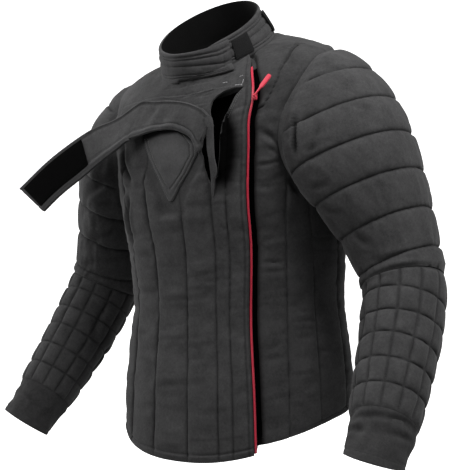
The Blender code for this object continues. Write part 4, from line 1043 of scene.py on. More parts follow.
def cloth_material(name, low, high, roughness=0.95, sheen=0.06, nap=0.45, shaded=False):
    """Napped microfibre: two close greys in soft clouds, with a fine uneven surface."""
    shader = Shader(name)
    clouds = shader.grain(34, 4.0, 0.65)
    fine = shader.grain(900, 2.0, 0.7)
    middle = shader.grain(240, 3.0, 0.7)
    factor = (clouds * 1.1 + fine * 0.7 + middle * 0.9 - 0.85).at_least(0.0).at_most(1.0)
    colour = shader.blend(factor, low, high)
    shader.set(Base_Color=colour, Roughness=roughness, Sheen_Weight=sheen,
               Sheen_Roughness=0.5, Specular_IOR_Level=0.08,
               Normal=shader.bump(fine * 0.5 + middle * 0.6 + clouds * 0.8, nap, 0.0008))
    # Painted shade: a black BSDF mixed over the cloth by each mesh's "shade" attribute, standing in for
    # shadow in creases, grooves, hollows and under parts
    if shaded:
        dark = shader.node("ShaderNodeAttribute", {"attribute_name": "shade"}, {}, "Fac")
        black = shader.node("ShaderNodeBsdfPrincipled", {}, {
            "Base Color": (0.0012, 0.0012, 0.0012, 1), "Roughness": 1.0, "Specular IOR Level": 0.0})
        cloth = Socket(shader, shader.principled.outputs[0])
        mixed = shader.node("ShaderNodeMixShader", {}, {0: dark, 1: cloth, 2: black})
        shader.tree.links.new(mixed.output, shader.tree.nodes["Material Output"].inputs["Surface"])
    return shader.material


def webbing_material(name, low, high, pitch, roughness, strength=0.6):
    """Narrow weave or rows of hooks, as a fine relief in two directions."""
    shader = Shader(name)
    parts = shader.node("ShaderNodeSeparateXYZ", {}, {"Vector": shader.place}, 0)
    node = parts.output.node
    x, y, z = (Socket(shader, node.outputs[k]) for k in range(3))
    rows = ((x + y) * (2 * math.pi / pitch)).sine() * ((z - y * 0.4) * (2 * math.pi / pitch)).sine()
    fine = shader.grain(700, 2.0, 0.6)
    factor = (rows * 0.35 + fine * 0.6).at_least(0.0).at_most(1.0)
    shader.set(Base_Color=shader.blend(factor, low, high), Roughness=roughness, Specular_IOR_Level=0.01,
               Normal=shader.bump(rows * 0.6 + fine * 0.5, strength, 0.0006))
    return shader.material


def plain_material(name, colour, roughness, specular=0.3, nap=0.0):
    shader = Shader(name)
    shader.set(Base_Color=(*colour, 1), Roughness=roughness, Specular_IOR_Level=specular)
    if nap:
        shader.set(Normal=shader.bump(shader.grain(800, 2.0, 0.6), nap, 0.0004))
    return shader.material


CHARCOAL_CLOTH = cloth_material("charcoal_cloth", (0.022, 0.022, 0.0225), (0.066, 0.065, 0.066), shaded=True)
# Near-black cloth for the collar's inner faces, painted shade of the jacket's inside
INSIDE_SHADE_CLOTH = cloth_material("inside_painted_shade", (0.003, 0.003, 0.003), (0.006, 0.006, 0.006), 0.9, 0.0)
# Lighter copy of the charcoal cloth for the chest patch: painted light on its lit, raised face
LIT_PATCH_CLOTH = cloth_material("chest_patch_cloth", (0.045, 0.045, 0.046), (0.090, 0.089, 0.090), shaded=True)
PATCH_THREAD = plain_material("patch_thread", (0.13, 0.13, 0.125), 0.7)
# Lighter copy of the charcoal thread, a painted highlight on the stitches of the left front and of the facing
# beside the throat
HIGHLIGHT_THREAD = plain_material("highlighted_thread", (0.085, 0.085, 0.085), 0.7)
# Near-black for places in painted shade: the zip's gutter and the layer under the open throat
SHADE_BLACK = plain_material("painted_shade_black", (0.0010, 0.0010, 0.0010), 1.0, 0.0)
THREAD = plain_material("charcoal_thread", (0.016, 0.016, 0.017), 0.7)
PALE_THREAD = plain_material("pale_thread", (0.42, 0.42, 0.43), 0.5)
LOOPS = webbing_material("black_loops", (0.012, 0.012, 0.012), (0.035, 0.035, 0.036), 0.0016, 0.95, 0.8)
HOOKS = webbing_material("black_hooks", (0.0006, 0.0006, 0.0006), (0.0025, 0.0025, 0.0025), 0.0019, 0.9, 0.9)
BLACK_WEB = webbing_material("black_webbing", (0.008, 0.008, 0.008), (0.022, 0.022, 0.022), 0.0013, 0.7)
RED_TAPE = plain_material("red_tape", (0.42, 0.030, 0.057), 0.75, 0.3, 0.4)
RED_TEETH = plain_material("red_teeth", (0.55, 0.039, 0.070), 0.32)
RED_PULL = plain_material("red_pull", (0.68, 0.045, 0.080), 0.38)


def dressed(thing, nodes, body_name="jacket"):
    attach(thing, body_name)
    if nodes:
        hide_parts(*nodes)
    return thing


# Body
left_front = Panel(LEFT_FRONT_LINES, None, (2, 1, 0, -ARMHOLE_FRONT_REACH, -SEAM_TURN), HEM_RISE)
right_front = Panel(RIGHT_FRONT_LINES, (2, -1, 0, -ARMHOLE_FRONT_REACH, -SEAM_TURN), None)
back = Panel(BACK_LINES, (2, 1, 0, ARMHOLE_BACK_REACH, SEAM_TURN),
             (2, -1, 360, ARMHOLE_BACK_REACH, SEAM_TURN))

BODY_SHEETS = (
    # name, panel, level, flat, flat width and length, area
    ("left_front", left_front, level_left_front, beside_zip, (0.20, 0.62), 0.0836),
    ("right_front", right_front, level_right_front, under_patch, (0.42, 0.65), 0.238),
    ("back", back, nowhere, nowhere, (0.54, 0.63), 0.265),
)
surfaces = {}
for name, panel, level, flat, cut, area in BODY_SHEETS:
    thing, surfaces[name] = dense_panel(name, panel, level, flat, CHARCOAL_CLOTH)
    if name == "right_front":
        right_front_cloth = thing
    dressed(thing, [name])


def cut_hole(thing, name, outline):
    """Opening through the cloth, from an outline on the body."""
    turn, up = np.array(outline).T
    face = body(turn, up)
    through = unit(body_normal(turn, up).mean(axis=0))
    count = len(face)
    points = np.concatenate([face + through * 0.016, face - through * 0.020])
    faces = [list(range(count)), list(range(2 * count - 1, count - 1, -1))]
    faces += [[k, k + count, (k + 1) % count + count, (k + 1) % count] for k in range(count)]
    cutter = add_mesh(name, points, faces, CHARCOAL_CLOTH)
    boolean = thing.modifiers.new(name, "BOOLEAN")
    boolean.operation = "DIFFERENCE"
    boolean.solver = "EXACT"
    boolean.object = cutter
    graph = bpy.context.evaluated_depsgraph_get()
    cut = bpy.data.meshes.new_from_object(thing.evaluated_get(graph))
    thing.modifiers.clear()
    thing.data = cut
    bpy.data.objects.remove(cutter, do_unlink=True)


def rounded(outline, count=72):
    """Closed outline through the given corners, as a smooth run of many points."""
    corners = np.array(outline)
    closed = np.concatenate([corners[-2:], corners, corners[:3]])
    return spline(np.arange(len(closed)) - 2.0, closed, np.arange(count) * len(corners) / count)


def tube(name, path, radius, finish, closed=True, sides=8):
    """Round cord along a path of points."""
    count = len(path)
    ahead = np.roll(path, -1, axis=0) - np.roll(path, 1, axis=0)
    if not closed:
        ahead[0], ahead[-1] = path[1] - path[0], path[-1] - path[-2]
    ahead = unit(ahead)
    side = unit(np.cross(ahead, np.array([0.1, -1.0, 0.2])))
    other = np.cross(ahead, side)
    angle = np.arange(sides) * 2 * math.pi / sides
    radius = np.broadcast_to(np.asarray(radius, float), (count,))
    ring = (side[:, None] * np.cos(angle)[None, :, None] + other[:, None] * np.sin(angle)[None, :, None])
    points = path[:, None] + ring * radius[:, None, None]
    faces = []
    for k in range(count if closed else count - 1):
        n = (k + 1) % count
        faces += [[k * sides + m, k * sides + (m + 1) % sides, n * sides + (m + 1) % sides, n * sides + m]
                  for m in range(sides)]
    if not closed:
        faces += [list(range(sides))[::-1], [(count - 1) * sides + m for m in range(sides)]]
    return add_mesh(name, points.reshape(-1, 3), faces, finish)


# Openings cut through the right front at the throat, as turn and height
THROAT_HOLE = (
    (36.4, 0.5640), (34.8, 0.5699), (31.2, 0.5763), (26.5, 0.5771), (21.5, 0.5697), (17.6, 0.5558),
    (16.2, 0.5362), (16.6, 0.5124), (17.2, 0.4918), (17.6, 0.4655), (17.8, 0.4250), (18.4, 0.3850),
    (20.4, 0.3700), (21.9, 0.4000), (22.1, 0.4400), (22.3, 0.4700), (23.4, 0.4970), (25.2, 0.5170),
    (27.6, 0.5350), (30.8, 0.5520),
)
SLIT_HOLE = (
    (16.4, 0.486), (14.9, 0.465), (13.4, 0.440), (13.3, 0.425), (14.4, 0.411), (15.0, 0.391),
    (16.8, 0.367), (18.6, 0.346), (19.0, 0.348), (19.2, 0.365), (19.2, 0.385), (18.9, 0.410),
    (18.5, 0.440), (18.0, 0.465), (17.3, 0.482),
)
for name, outline in (("throat_hole", THROAT_HOLE), ("slit", SLIT_HOLE)):
    cut_hole(right_front_cloth, name + "_cutter", rounded(outline))

# Sleeves
ARM_ROUND = 150
SHOULDER_SEAM = 168.0
TUCK, FRONT_TUCK = 0.0055, 0.0020
# Rise of the sleeve's head: height, middle and width round the arm, and reach down it
HEAD_RISE, HEAD_PSI, HEAD_WIDE, HEAD_REACH = 0.0048, 185, 45, 0.17


def arm_wobble(psi, side):
    """How far the stitch lines stray up or down round the arm."""
    return 0.0018 * noise(psi / 22, 0.5, 13 + side)


def sewn_through(psi, s):
    """Where the upper sleeve's channel seams show; they run out in the folds at the front of the armhole."""
    return smooth((s - 0.13 * trough(psi - 100, 24)) / 0.035)


def arm_channels(psi, points, side):
    """Channel of the upper sleeve, place in it from 0 to 1, and metres to its nearer stitch line."""
    f = (arm_height(points) - arm_wobble(psi, side) - LOWEST_CHANNEL) / CHANNEL_HEIGHT
    channel, place = np.floor(f), f - np.floor(f)
    return channel, place, np.minimum(place, 1 - place) * CHANNEL_HEIGHT


def arm_relief(psi, s, points, away, side):
    """Height of the upper sleeve's cloth over its plain form, its channels running across the arm."""
    channel, place, distance = arm_channels(psi, points, side)
    inside = smooth(distance / 0.008)
    seed = 11 if side > 0 else 17
    fold = noise(psi / 19 + channel * 3.7, channel * 5.1 + place * 0.7, seed) * 0.0013
    small = noise(psi / 5.5, channel * 7.3 + place * 2.6, seed + 1) * 0.0009
    pucker = noise(psi / 2.6, channel * 9.1, seed + 2) * 0.0009 * trough(distance, 0.009)
    relief = ARM_PUFF * quilted(distance, CHANNEL_HEIGHT) + (fold + small) * inside + pucker
    crinkle = wrinkles(psi / 26 + channel * 2.1, channel * 3.3 + place * 2.2 + psi / 60, seed + 3)
    relief = relief - GROOVE * trough(distance, GROOVE_LINE) * sewn_through(psi, s)
    relief = relief - (0.0005 if side > 0 else 0.0014) * crinkle * inside
    seam = trough((psi - SHOULDER_SEAM) * 0.0016, 0.0022) * 0.0006
    return (relief - seam + crease_depth(points, ARM_CREASES[side], upper_arm)) * away


def arm_shade(psi, s, points, away, side):
    """Share of darkness in the upper sleeve's grooves and creases."""
    groove = GROOVE_DARK * trough(arm_channels(psi, points, side)[2], GROOVE_WIDE)
    folds = fold_shade(crease_depth(points, ARM_CREASES[side], upper_arm))
    return np.maximum(groove * sewn_through(psi, s), folds) * away


def arm_rows(heights, psi, squeeze, side):
    """Places s down each column of the upper sleeve at the given heights, squeezed below the armhole."""
    steps = np.linspace(0, 1, 401)
    track = arm_height(upper_arm(psi[None, :], steps[:, None])) - arm_wobble(psi, side)
    rows = np.zeros((len(heights) + 2, len(psi)))
    for j in range(len(psi)):
        order = np.argsort(track[:, j])
        for i, s in enumerate(np.interp(heights, track[order, j], steps[order])):
            lowest = 1 - 3 * squeeze * (len(heights) - i)
            rows[i + 1, j] = min(max(s, rows[i, j] + squeeze), lowest)
    rows[-1] = 1.0
    return rows


def upper_sleeve(side, word):
    psi = np.arange(ARM_ROUND) * 360 / ARM_ROUND
    places = dense_steps([CHANNEL_HEIGHT] * (ARM_CHANNELS + 1))[::-1]
    heights = LOWEST_CHANNEL + CHANNEL_HEIGHT * (places - 1)
    heights = heights[heights > 0.002]
    if len(heights) % 2 == 0:
        heights = heights[1:]
    squeeze = 0.0007
    s = arm_rows(heights, psi, squeeze, side)
    psi_grid = np.broadcast_to(psi[None, :], s.shape)
    points = upper_arm(psi_grid, s)
    normal = sleeve_normal(upper_arm, psi_grid, np.clip(s, 0.005, 0.995))
    normal[-1] = sleeve_normal(arm_ring, psi_grid[-1], ELBOW_DOWN)
    away = smooth((s - squeeze * np.arange(len(s))[:, None]) / 0.03) * smooth((1 - s) / 0.02)
    relief = arm_relief(psi_grid, s, points, away, side)
    head = HEAD_RISE * trough(psi_grid - HEAD_PSI, HEAD_WIDE) * (1 - smooth(s / HEAD_REACH))
    points = points + normal * head[..., None]
    outer = points + normal * relief[..., None]
    inner = points - normal * WALL
    front = trough(psi - 75, 45)[:, None]
    tuck = TUCK + FRONT_TUCK * front
    inwards = unit(upper_arm(psi, np.zeros(len(psi))) - upper_arm(psi, np.full(len(psi), 0.02))) * tuck
    outer[0] += inwards - normal[0] * tuck * (0.4 - 0.4 * front)
    inner[0] += inwards
    thing = dense_wall("upper_sleeve_%s_cloth" % word, mirrored(outer, side), mirrored(inner, side),
                       CHARCOAL_CLOTH, arm_shade(psi_grid, s, points, away, side), True)
    dressed(thing, ["upper_sleeve_" + word])
    shown = np.array([np.argmin(np.abs(heights - (LOWEST_CHANNEL + CHANNEL_HEIGHT * k))) + 1
                      for k in range(ARM_CHANNELS - 1)])
    for row in shown:
        line = mirrored(outer[row] + normal[row] * TOPSTITCH_LIFT, side)
        sew("sleeve", line, away[row] * sewn_through(psi, s[row]) > 0.5)


# Height and width of one cell of the forearm's grid
FOREARM_CELL = ((CUFF_DOWN - ELBOW_DOWN) / FOREARM_ROWS, 0.027)


def grid_gaps(around, down):
    """Distances to the nearest row's and the nearest column's seam of the forearm's grid."""
    places = (down - np.floor(down), around - np.floor(around))
    return [np.minimum(place, 1 - place) * span for place, span in zip(places, FOREARM_CELL)]


def forearm_form(around, down):
    """Point and outward direction of the forearm's plain form, by columns and rows of its grid."""
    psi = around * 360 / FOREARM_COLUMNS
    along = ELBOW_DOWN + ELBOW_GAP + (CUFF_DOWN - ELBOW_DOWN - ELBOW_GAP) * down / FOREARM_ROWS
    return arm_ring(psi, along), sleeve_normal(arm_ring, psi, along)


def forearm_surface(side):
    def outer(around, down, extra=0.0):
        """around counts columns of the grid and down its rows."""
        around, down = np.broadcast_arrays(np.asarray(around, float), np.asarray(down, float))
        points, normal = forearm_form(around, down)
        seed = 23 if side > 0 else 29
        row_place, column_place = down - np.floor(down), around - np.floor(around)
        row_span, column_span = FOREARM_CELL
        row_gap, column_gap = grid_gaps(around, down)
        cell = np.floor(around) * 7.0 + np.floor(down) * 3.0
        profile = quilted(row_gap, row_span) * (0.25 + 0.75 * quilted(column_gap, column_span))
        fold = noise(cell + column_place, down * 2.1, seed) * 0.0010
        pucker = noise(around * 4.2, np.floor(down) * 3.3 + row_place, seed + 1)
        pucker = pucker * 0.0007 * trough(row_gap, 0.006)
        rows = smooth(row_gap / 0.006)
        pucker = pucker - GROOVE * np.maximum(trough(row_gap, GROOVE_LINE), 1.2 * trough(column_gap, 0.0020))
        edge = smooth(down / 0.12) * smooth((FOREARM_ROWS - down) / 0.12)
        relief = (FOREARM_PUFF * profile + fold * rows + pucker) * edge
        relief = relief + crease_depth(points, FOREARM_CREASES[side], arm_ring) * edge + extra
        return mirrored(points + normal * relief[..., None], side)

    def inner(around, down):
        points, normal = forearm_form(around, down)
        return mirrored(points - normal * WALL, side)

    return outer, inner


def forearm(side, word):
    outer, inner = forearm_surface(side)
    around = dense_steps([FOREARM_CELL[1]] * FOREARM_COLUMNS)[:-1]
    down = dense_steps([FOREARM_CELL[0]] * FOREARM_ROWS)
    grid = np.meshgrid(around, down)
    row_gap, column_gap = grid_gaps(*grid)
    shade = GROOVE_DARK * np.maximum(trough(row_gap, GROOVE_WIDE), trough(column_gap, GROOVE_WIDE))
    thing = dense_wall("forearm_%s_cloth" % word, outer(*grid), inner(*grid), CHARCOAL_CLOTH, shade, True)
    dressed(thing, ["forearm_" + word])
    for row in range(1, FOREARM_ROWS):
        sew("sleeve", outer(np.linspace(0, FOREARM_COLUMNS, 200), row, THREAD_LIFT))
    for column in range(FOREARM_COLUMNS):
        sew("sleeve", outer(column, np.linspace(0.05, FOREARM_ROWS - 0.05, 90), THREAD_LIFT))


CUFF_ROWS, CUFF_ROUND, CUFF_SEAM_ROW = 32, 112, 28
# Painted shade mixed evenly over the cuffs, as a share of black
CUFF_SHADE = 0.26
CUFF_DROP = {1: (0.024, 128), -1: (0.013, 55)}
CUFF_CREASES = {
    1: (
        (70.0, 0.325, 178.0, 0.316, 0.003, 0.0045, -0.0036),
        (140.0, 0.343, 206.0, 0.328, -0.002, 0.0045, -0.0030),
        (46.0, 0.337, 110.0, 0.350, 0.003, 0.0045, -0.0028),
        (230.0, 0.322, 300.0, 0.336, 0.003, 0.0050, -0.0030),
        (300.0, 0.345, 400.0, 0.330, 0.003, 0.0050, -0.0028),
    ),
    -1: (
        (100.0, 0.330, 36.0, 0.347, 0.003, 0.0050, -0.0030),
        (60.0, 0.322, 372.0, 0.330, 0.002, 0.0040, -0.0012),
        (130.0, 0.318, 190.0, 0.330, -0.003, 0.0045, -0.0028),
        (220.0, 0.335, 300.0, 0.326, 0.003, 0.0050, -0.0030),
    ),
}


def cuff(side, word):
    f = np.linspace(0, 1, CUFF_ROWS + 1)[:, None]
    psi = np.arange(CUFF_ROUND)[None, :] * 360 / CUFF_ROUND
    start = CUFF_DOWN + SEAM_GAP
    psi, down = np.broadcast_arrays(psi, start + (EDGE_DOWN - start) * f)
    f = np.broadcast_to(f, psi.shape)
    points = arm_ring(psi, down)
    normal = sleeve_normal(arm_ring, psi, np.clip(down, 0, EDGE_DOWN - 0.005))
    along = unit(arm_ring(psi, EDGE_DOWN) - arm_ring(psi, EDGE_DOWN - 0.02))
    drop_by, drop_at = CUFF_DROP[side]
    drop = drop_by * np.cos(np.radians(psi - drop_at)) * f**2
    points = points + along * drop[..., None]
    seed = 31 if side > 0 else 37
    fold = CUFF_CRUMPLE * noise(psi / 34 + 2.1 * f, f * 2.3, seed)
    fold = fold + 0.0016 * noise(psi / 15, f * 3.4, seed + 1)
    fold = fold * smooth(f / 0.12) * smooth((1.15 - f) / 0.5)
    creases = crease_depth(points, CUFF_CREASES[side], arm_ring) * smooth(f / 0.08)
    shade = np.maximum(CUFF_SHADE, fold_shade(creases))
    fold = fold + creases
    edge_line = trough(f - 0.87, 0.022) * 0.0011
    outer = points + normal * (fold - edge_line)[..., None]
    inner = points - normal * WALL
    thing = dense_wall("cuff_%s_cloth" % word, mirrored(outer, side), mirrored(inner, side),
                       CHARCOAL_CLOTH, shade, True)
    dressed(thing, ["cuff_" + word])
    line = mirrored(outer[CUFF_SEAM_ROW] + normal[CUFF_SEAM_ROW] * TOPSTITCH_LIFT, side)
    sew("sleeve", line[np.arange(CUFF_ROUND + 1) % CUFF_ROUND])


for side, word in ((1, "left"), (-1, "right")):
    upper_sleeve(side, word)
    forearm(side, word)
    cuff(side, word)

# Collar
COLLAR_LINES = (0.10, 0.20, 0.53, 0.75, 0.85)
COLLAR_TALL = 0.060
TAB_START, TAB_DROP, TAB_STRETCH, TAB_TALL = 360.0, 0.10, 0.62, 0.043
START_LOW, START_LENGTH = 0.16, 34.0
NECK_TUCK = 0.0035
COLLAR_ROWS = np.linspace(0, 1, 43)
for line in COLLAR_LINES:
    COLLAR_ROWS[np.argmin(np.abs(COLLAR_ROWS - line))] = line


def collar_outer(length, height, extra=0.0, layer="outer"):
    """Collar's cloth; its overlapping end slips a little down over the front."""
    length, height = np.broadcast_arrays(np.asarray(length, float), np.asarray(height, float))
    turn = COLLAR_START + (COLLAR_END + COLLAR_END_SLANT * height - COLLAR_START) * length
    tab = np.clip((turn - TAB_START) / (COLLAR_END - TAB_START), 0, 1) ** 1.8
    shown = 1 - TAB_DROP * tab - (1 - height) * (1 + TAB_STRETCH * tab)
    shown = shown * (1 - START_LOW * (1 - smooth((turn - COLLAR_START) / START_LENGTH)))
    distance = np.min([np.abs(height - line) for line in (0.0, *COLLAR_LINES, 1.0)], axis=0) * COLLAR_TALL
    edge = smooth((1 - length) / 0.008) * smooth(length / 0.012)
    wave = noise(turn / 14, height * 2.5, 41) * 0.0009 + noise(turn / 4, height * 6, 42) * 0.0003
    relief = 0.0016 * quilted(distance, 0.016) * edge - 0.0007 * trough(distance, 0.0014)
    relief += wave * smooth(height / 0.2) * smooth((1 - height) / 0.2)
    relief -= 0.0011 * trough(1 - length - 0.017, 0.0026)
    relief = relief - 0.0024 * (1 - smooth(height / 0.12)) * smooth((turn - TAB_START) / 6)
    if layer == "inner":
        relief = np.full(turn.shape, -WALL)
    off = collar_lift(turn) + relief + extra - 0.0030 * smooth(-shown * 8)
    low = shown < 0
    standing = on_collar(turn, np.clip(shown, 0, 1), off)
    standing[..., 2] -= NECK_TUCK * trough(shown, 0.05) * (tab == 0)
    down = NECK_UP + np.minimum(shown, 0) * TAB_TALL
    leaning = body(turn, down) + unit(0.5 * body_normal(turn, down) + 0.5 * collar_normal(
        turn, np.zeros(turn.shape))) * (off + 0.0006 - 0.06 * np.minimum(shown, 0) * TAB_TALL)[..., None]
    return np.where(low[..., None], leaning, standing)


collar_grid = np.meshgrid(np.linspace(0, 1, 241), COLLAR_ROWS)
collar_inner = collar_outer(*collar_grid, layer="inner")
collar_cloth = dense_wall("collar_cloth", collar_outer(*collar_grid), collar_inner, CHARCOAL_CLOTH)
# The collar's inward faces take the near-black cloth, painted shade of the jacket's inside
collar_cloth.data.materials.append(INSIDE_SHADE_CLOTH)
for face in collar_cloth.data.polygons:
    centre = np.array(face.center)
    outward = centre - np.array([0.0, -0.015, centre[2]])
    if np.dot(outward, np.array(face.normal)) < 0:
        face.material_index = 1
dressed(collar_cloth, ["collar"])
for line in COLLAR_LINES:
    sew("collar", collar_outer(np.linspace(0.03, 0.98, 260), line, TOPSTITCH_LIFT))
sew("collar", collar_outer(0.983, np.linspace(0.04, 0.96, 40), TOPSTITCH_LIFT))


def patch_on_collar(name, node, turns, slant, heights, thick, bow, finish):
    rows = np.linspace(0, 1, 17)[:, None]
    turn, height = np.broadcast_arrays(
        np.linspace(*turns, 13)[None, :] + slant * rows, heights[0] + (heights[1] - heights[0]) * rows)
    off = COLLAR_PUFF + SEAM_GAP + bow * np.sin(np.pi * np.broadcast_to(rows, turn.shape))
    thing = sheet_mesh(name, on_collar(turn, height, off), collar_normal(turn, height), thick, finish, 0.0007)
    dressed(thing, [node])
    return thing


loops = patch_on_collar("collar_loops", "collar_loop_patch", LOOPS_TURN, LOOPS_SLANT, LOOPS_HEIGHT,
                        0.0016, 0.0, LOOPS)
keeper = patch_on_collar("collar_keeper_web", "collar_keeper", KEEPER_TURN, 0.0, KEEPER_HEIGHT,
                         0.0030, 0.0006, BLACK_WEB)


# Throat strap
def strap_face(along, across, extra=0.0):
    along, across = np.broadcast_arrays(np.asarray(along, float), np.asarray(across, float))
    normal = strap_normal(np.clip(along, 0.01, 0.99), across)
    points = strap(along, across)
    edge = smooth(across / 0.03) * smooth((1 - across) / 0.03)
    roll = STRAP_ROLL * np.exp(-((across - 0.10) / 0.07) ** 2) * edge
    fold = noise(along * 24 + across * 0.8, across * 1.1, 51) * 0.0024 * smooth((0.66 - along) / 0.2)
    wave = fold * np.sin(np.pi * np.clip(across * 1.1, 0, 1)) ** 0.7
    groove = trough(across - 0.90, 0.030) * 0.0013 + trough(across - 0.20, 0.028) * 0.0014
    roll = roll + 0.0013 * trough(across - 0.965, 0.035) * edge
    lift = roll + wave - groove + strap_lift(along, across) + extra
    return points + normal * lift[..., None]


def strap_lift(along, across):
    """How far the strap's lower edge stands off the chest."""
    return 0.0080 * (1 - across) ** 2 * smooth((along - 0.14) / 0.18) * smooth((0.62 - along) / 0.2)


strap_grid = np.meshgrid(np.linspace(0, 1, 161), np.linspace(0, 1, 25))
strap_out = strap_normal(np.clip(strap_grid[0], 0.01, 0.99), strap_grid[1])
strap_back = strap(*strap_grid) + strap_out * (strap_lift(*strap_grid) - STRAP_THICKNESS)[..., None]
strap_cloth = dense_wall("throat_strap_cloth", strap_face(*strap_grid), strap_back, CHARCOAL_CLOTH)
dressed(strap_cloth, ["throat_strap"])
for across in (0.07, 0.20, 0.90):
    sew("strap", strap_face(np.linspace(0.04, 0.985, 240), across, THREAD_LIFT))
hook_grid = np.meshgrid(np.linspace(*HOOK_PATCH_ALONG, 41), np.linspace(*HOOK_PATCH_ACROSS, 13))
hook_normal = strap_normal(np.clip(hook_grid[0], 0.01, 0.99), hook_grid[1])
hook_face = strap(*hook_grid) + hook_normal * (STRAP_ROLL + SEAM_GAP)
hooks = sheet_mesh("strap_hooks", hook_face, hook_normal, HOOK_THICKNESS, HOOKS, 0.0006)
dressed(hooks, ["strap_hook_patch"])

# Narrow end of the strap, running down the slit's side: its two edges as turns at each height
LEG_THICKNESS, LEG_CROWN = 0.0040, 0.0009
leg_rows = np.array([
    # up     inner  outer  proud
    (0.338, 19.2, 19.7, 0.0055),
    (0.362, 19.3, 20.5, 0.0060),
    (0.378, 19.2, 22.0, 0.0066),
    (0.388, 18.9, 22.0, 0.0068),
    (0.402, 18.5, 21.2, 0.0070),
    (0.425, 17.6, 20.7, 0.0075),
    (0.455, 17.2, 20.3, 0.0084),
    (0.478, 16.9, 20.1, 0.0096),
    (0.494, 16.4, 19.6, 0.0104),
    (0.505, 15.6, 18.8, 0.0104),
])
leg_up = np.linspace(leg_rows[0, 0], leg_rows[-1, 0], 61)
leg_inner, leg_outer, leg_proud = (spline(leg_rows[:, 0], leg_rows[:, k], leg_up) for k in (1, 2, 3))
leg_across = np.linspace(0, 1, 7)
leg_turn = leg_inner[:, None] + (leg_outer - leg_inner)[:, None] * leg_across
leg_up, leg_proud = (np.broadcast_to(v[:, None], leg_turn.shape) for v in (leg_up, leg_proud))
leg_normal = body_normal(leg_turn, leg_up)
leg_base = body(leg_turn, leg_up)
leg_top = leg_base + leg_normal * (leg_proud + LEG_CROWN * np.sin(np.pi * leg_across) ** 0.6)[..., None]
leg_back = leg_base + leg_normal * (leg_proud - LEG_THICKNESS)[..., None]
leg = dense_wall("strap_leg_cloth", leg_top, leg_back, CHARCOAL_CLOTH)
dressed(leg, ["strap_leg"])


# Chest patch
def patch_face(across, up, extra=0.0):
    across, up = np.broadcast_arrays(np.asarray(across, float), np.asarray(up, float))
    left, right = (np.interp(up, PATCH_ROWS[:, 0], PATCH_ROWS[:, k]) for k in (1, 2))
    turn = left + (right - left) * across
    wide = smooth((right - left) / 12)
    width = (right - left) * CHEST_METRES
    edge = np.minimum(across, 1 - across) * width
    rows = smooth(edge / 0.0012)
    grooves = 0.0016 * (trough(edge - 0.0024, 0.0010) + trough(edge - 0.0075, 0.0010))
    crown = PATCH_PUFF * np.sin(np.pi * across) ** 0.5 * wide
    height = SEAM_GAP + PATCH_THICKNESS * (0.35 + 0.65 * rows) + crown - grooves * wide + extra
    height = height + noise(turn / 5, up / 0.02, 61) * 0.0006 * wide
    return body(turn, up) + body_normal(turn, up) * height[..., None], turn


patch_grid = np.meshgrid(np.linspace(0, 1, 101), np.linspace(PATCH_ROWS[0, 0], PATCH_ROWS[-1, 0], 81))
patch_top, patch_turn = patch_face(*patch_grid)
patch_back = body(patch_turn, patch_grid[1]) + body_normal(patch_turn, patch_grid[1]) * SEAM_GAP
patch_shade = strap_shadow(patch_turn, patch_grid[1])
patch = dense_wall("chest_patch_cloth", patch_top, patch_back, LIT_PATCH_CLOTH, patch_shade)
dressed(patch, ["chest_patch"])

# Layer under the open throat, coloured near-black as painted shade
UNDERLAP_TURN, UNDERLAP_UP = (6.0, 44.0), (0.312, 0.598)
UNDERLAP_DEPTH, UNDERLAP_THICKNESS, UNDERLAP_SLOPE = 0.0118, 0.0025, 0.012
under_grid = np.meshgrid(np.linspace(*UNDERLAP_TURN, 49), np.linspace(*UNDERLAP_UP, 81))
under_normal = body_normal(*under_grid)
under_wave = noise(under_grid[0] / 9, under_grid[1] / 0.05, 71) * 0.0010
under_slope = UNDERLAP_SLOPE * smooth((under_grid[1] - UNDERLAP_UP[0]) / 0.05)
under_back = UNDERLAP_DEPTH + UNDERLAP_THICKNESS + under_slope
under_face = body(*under_grid) - under_normal * under_back[..., None]
underlap = sheet_mesh("underlap_cloth", under_face, under_normal, UNDERLAP_THICKNESS + under_wave, SHADE_BLACK)
dressed(underlap, ["underlap"])

# Zip
chain_rows = np.arange(4 * TOP_ROW + 1) / 4
chain_up = right_front.place(right_front.count, chain_rows)[1]
chain_up = np.clip(chain_up, 0.002, CHAIN_END)


def on_chain(off, up, lift):
    line = spline(ZIP_UP, ZIP_TURN, up)
    turn = line + (ZIP_START + off) / metres_round(line, up)
    return body(turn, up) + body_normal(turn, up) * np.asarray(lift)[..., None], turn


tape_off = TAPE_WIDE * np.linspace(0, 1, 5)
tape_up, tape_off = np.meshgrid(chain_up, tape_off, indexing="ij")
tape_face, _ = on_chain(tape_off, tape_up, np.full(tape_up.shape, CHAIN_BOTTOM))
_, tape_turn = on_chain(tape_off, tape_up, np.zeros(tape_up.shape))
tape = sheet_mesh("zip_tape", tape_face, body_normal(tape_turn, tape_up), 0.0022, RED_TAPE, 0.0004)
dressed(tape, ["zip_chain"])

# Near-black sheet under the zip's gutter, painted shadow of the right front's edge on the left front
shade_sheet_off, shade_sheet_up = np.meshgrid(np.linspace(-0.0075, 0.0120, 9), chain_up)
shade_sheet_up = np.where(shade_sheet_off > 0.003, np.clip(shade_sheet_up, 0.018, 0.606), shade_sheet_up)
shade_sheet_face, shade_sheet_turn = on_chain(shade_sheet_off, shade_sheet_up, np.full(shade_sheet_up.shape, -0.0068))
shade_sheet_normal = body_normal(shade_sheet_turn, shade_sheet_up)
shade_sheet = sheet_mesh("zip_backing", shade_sheet_face, shade_sheet_normal, 0.0014, SHADE_BLACK, 0.0003)
dressed(shade_sheet, [])


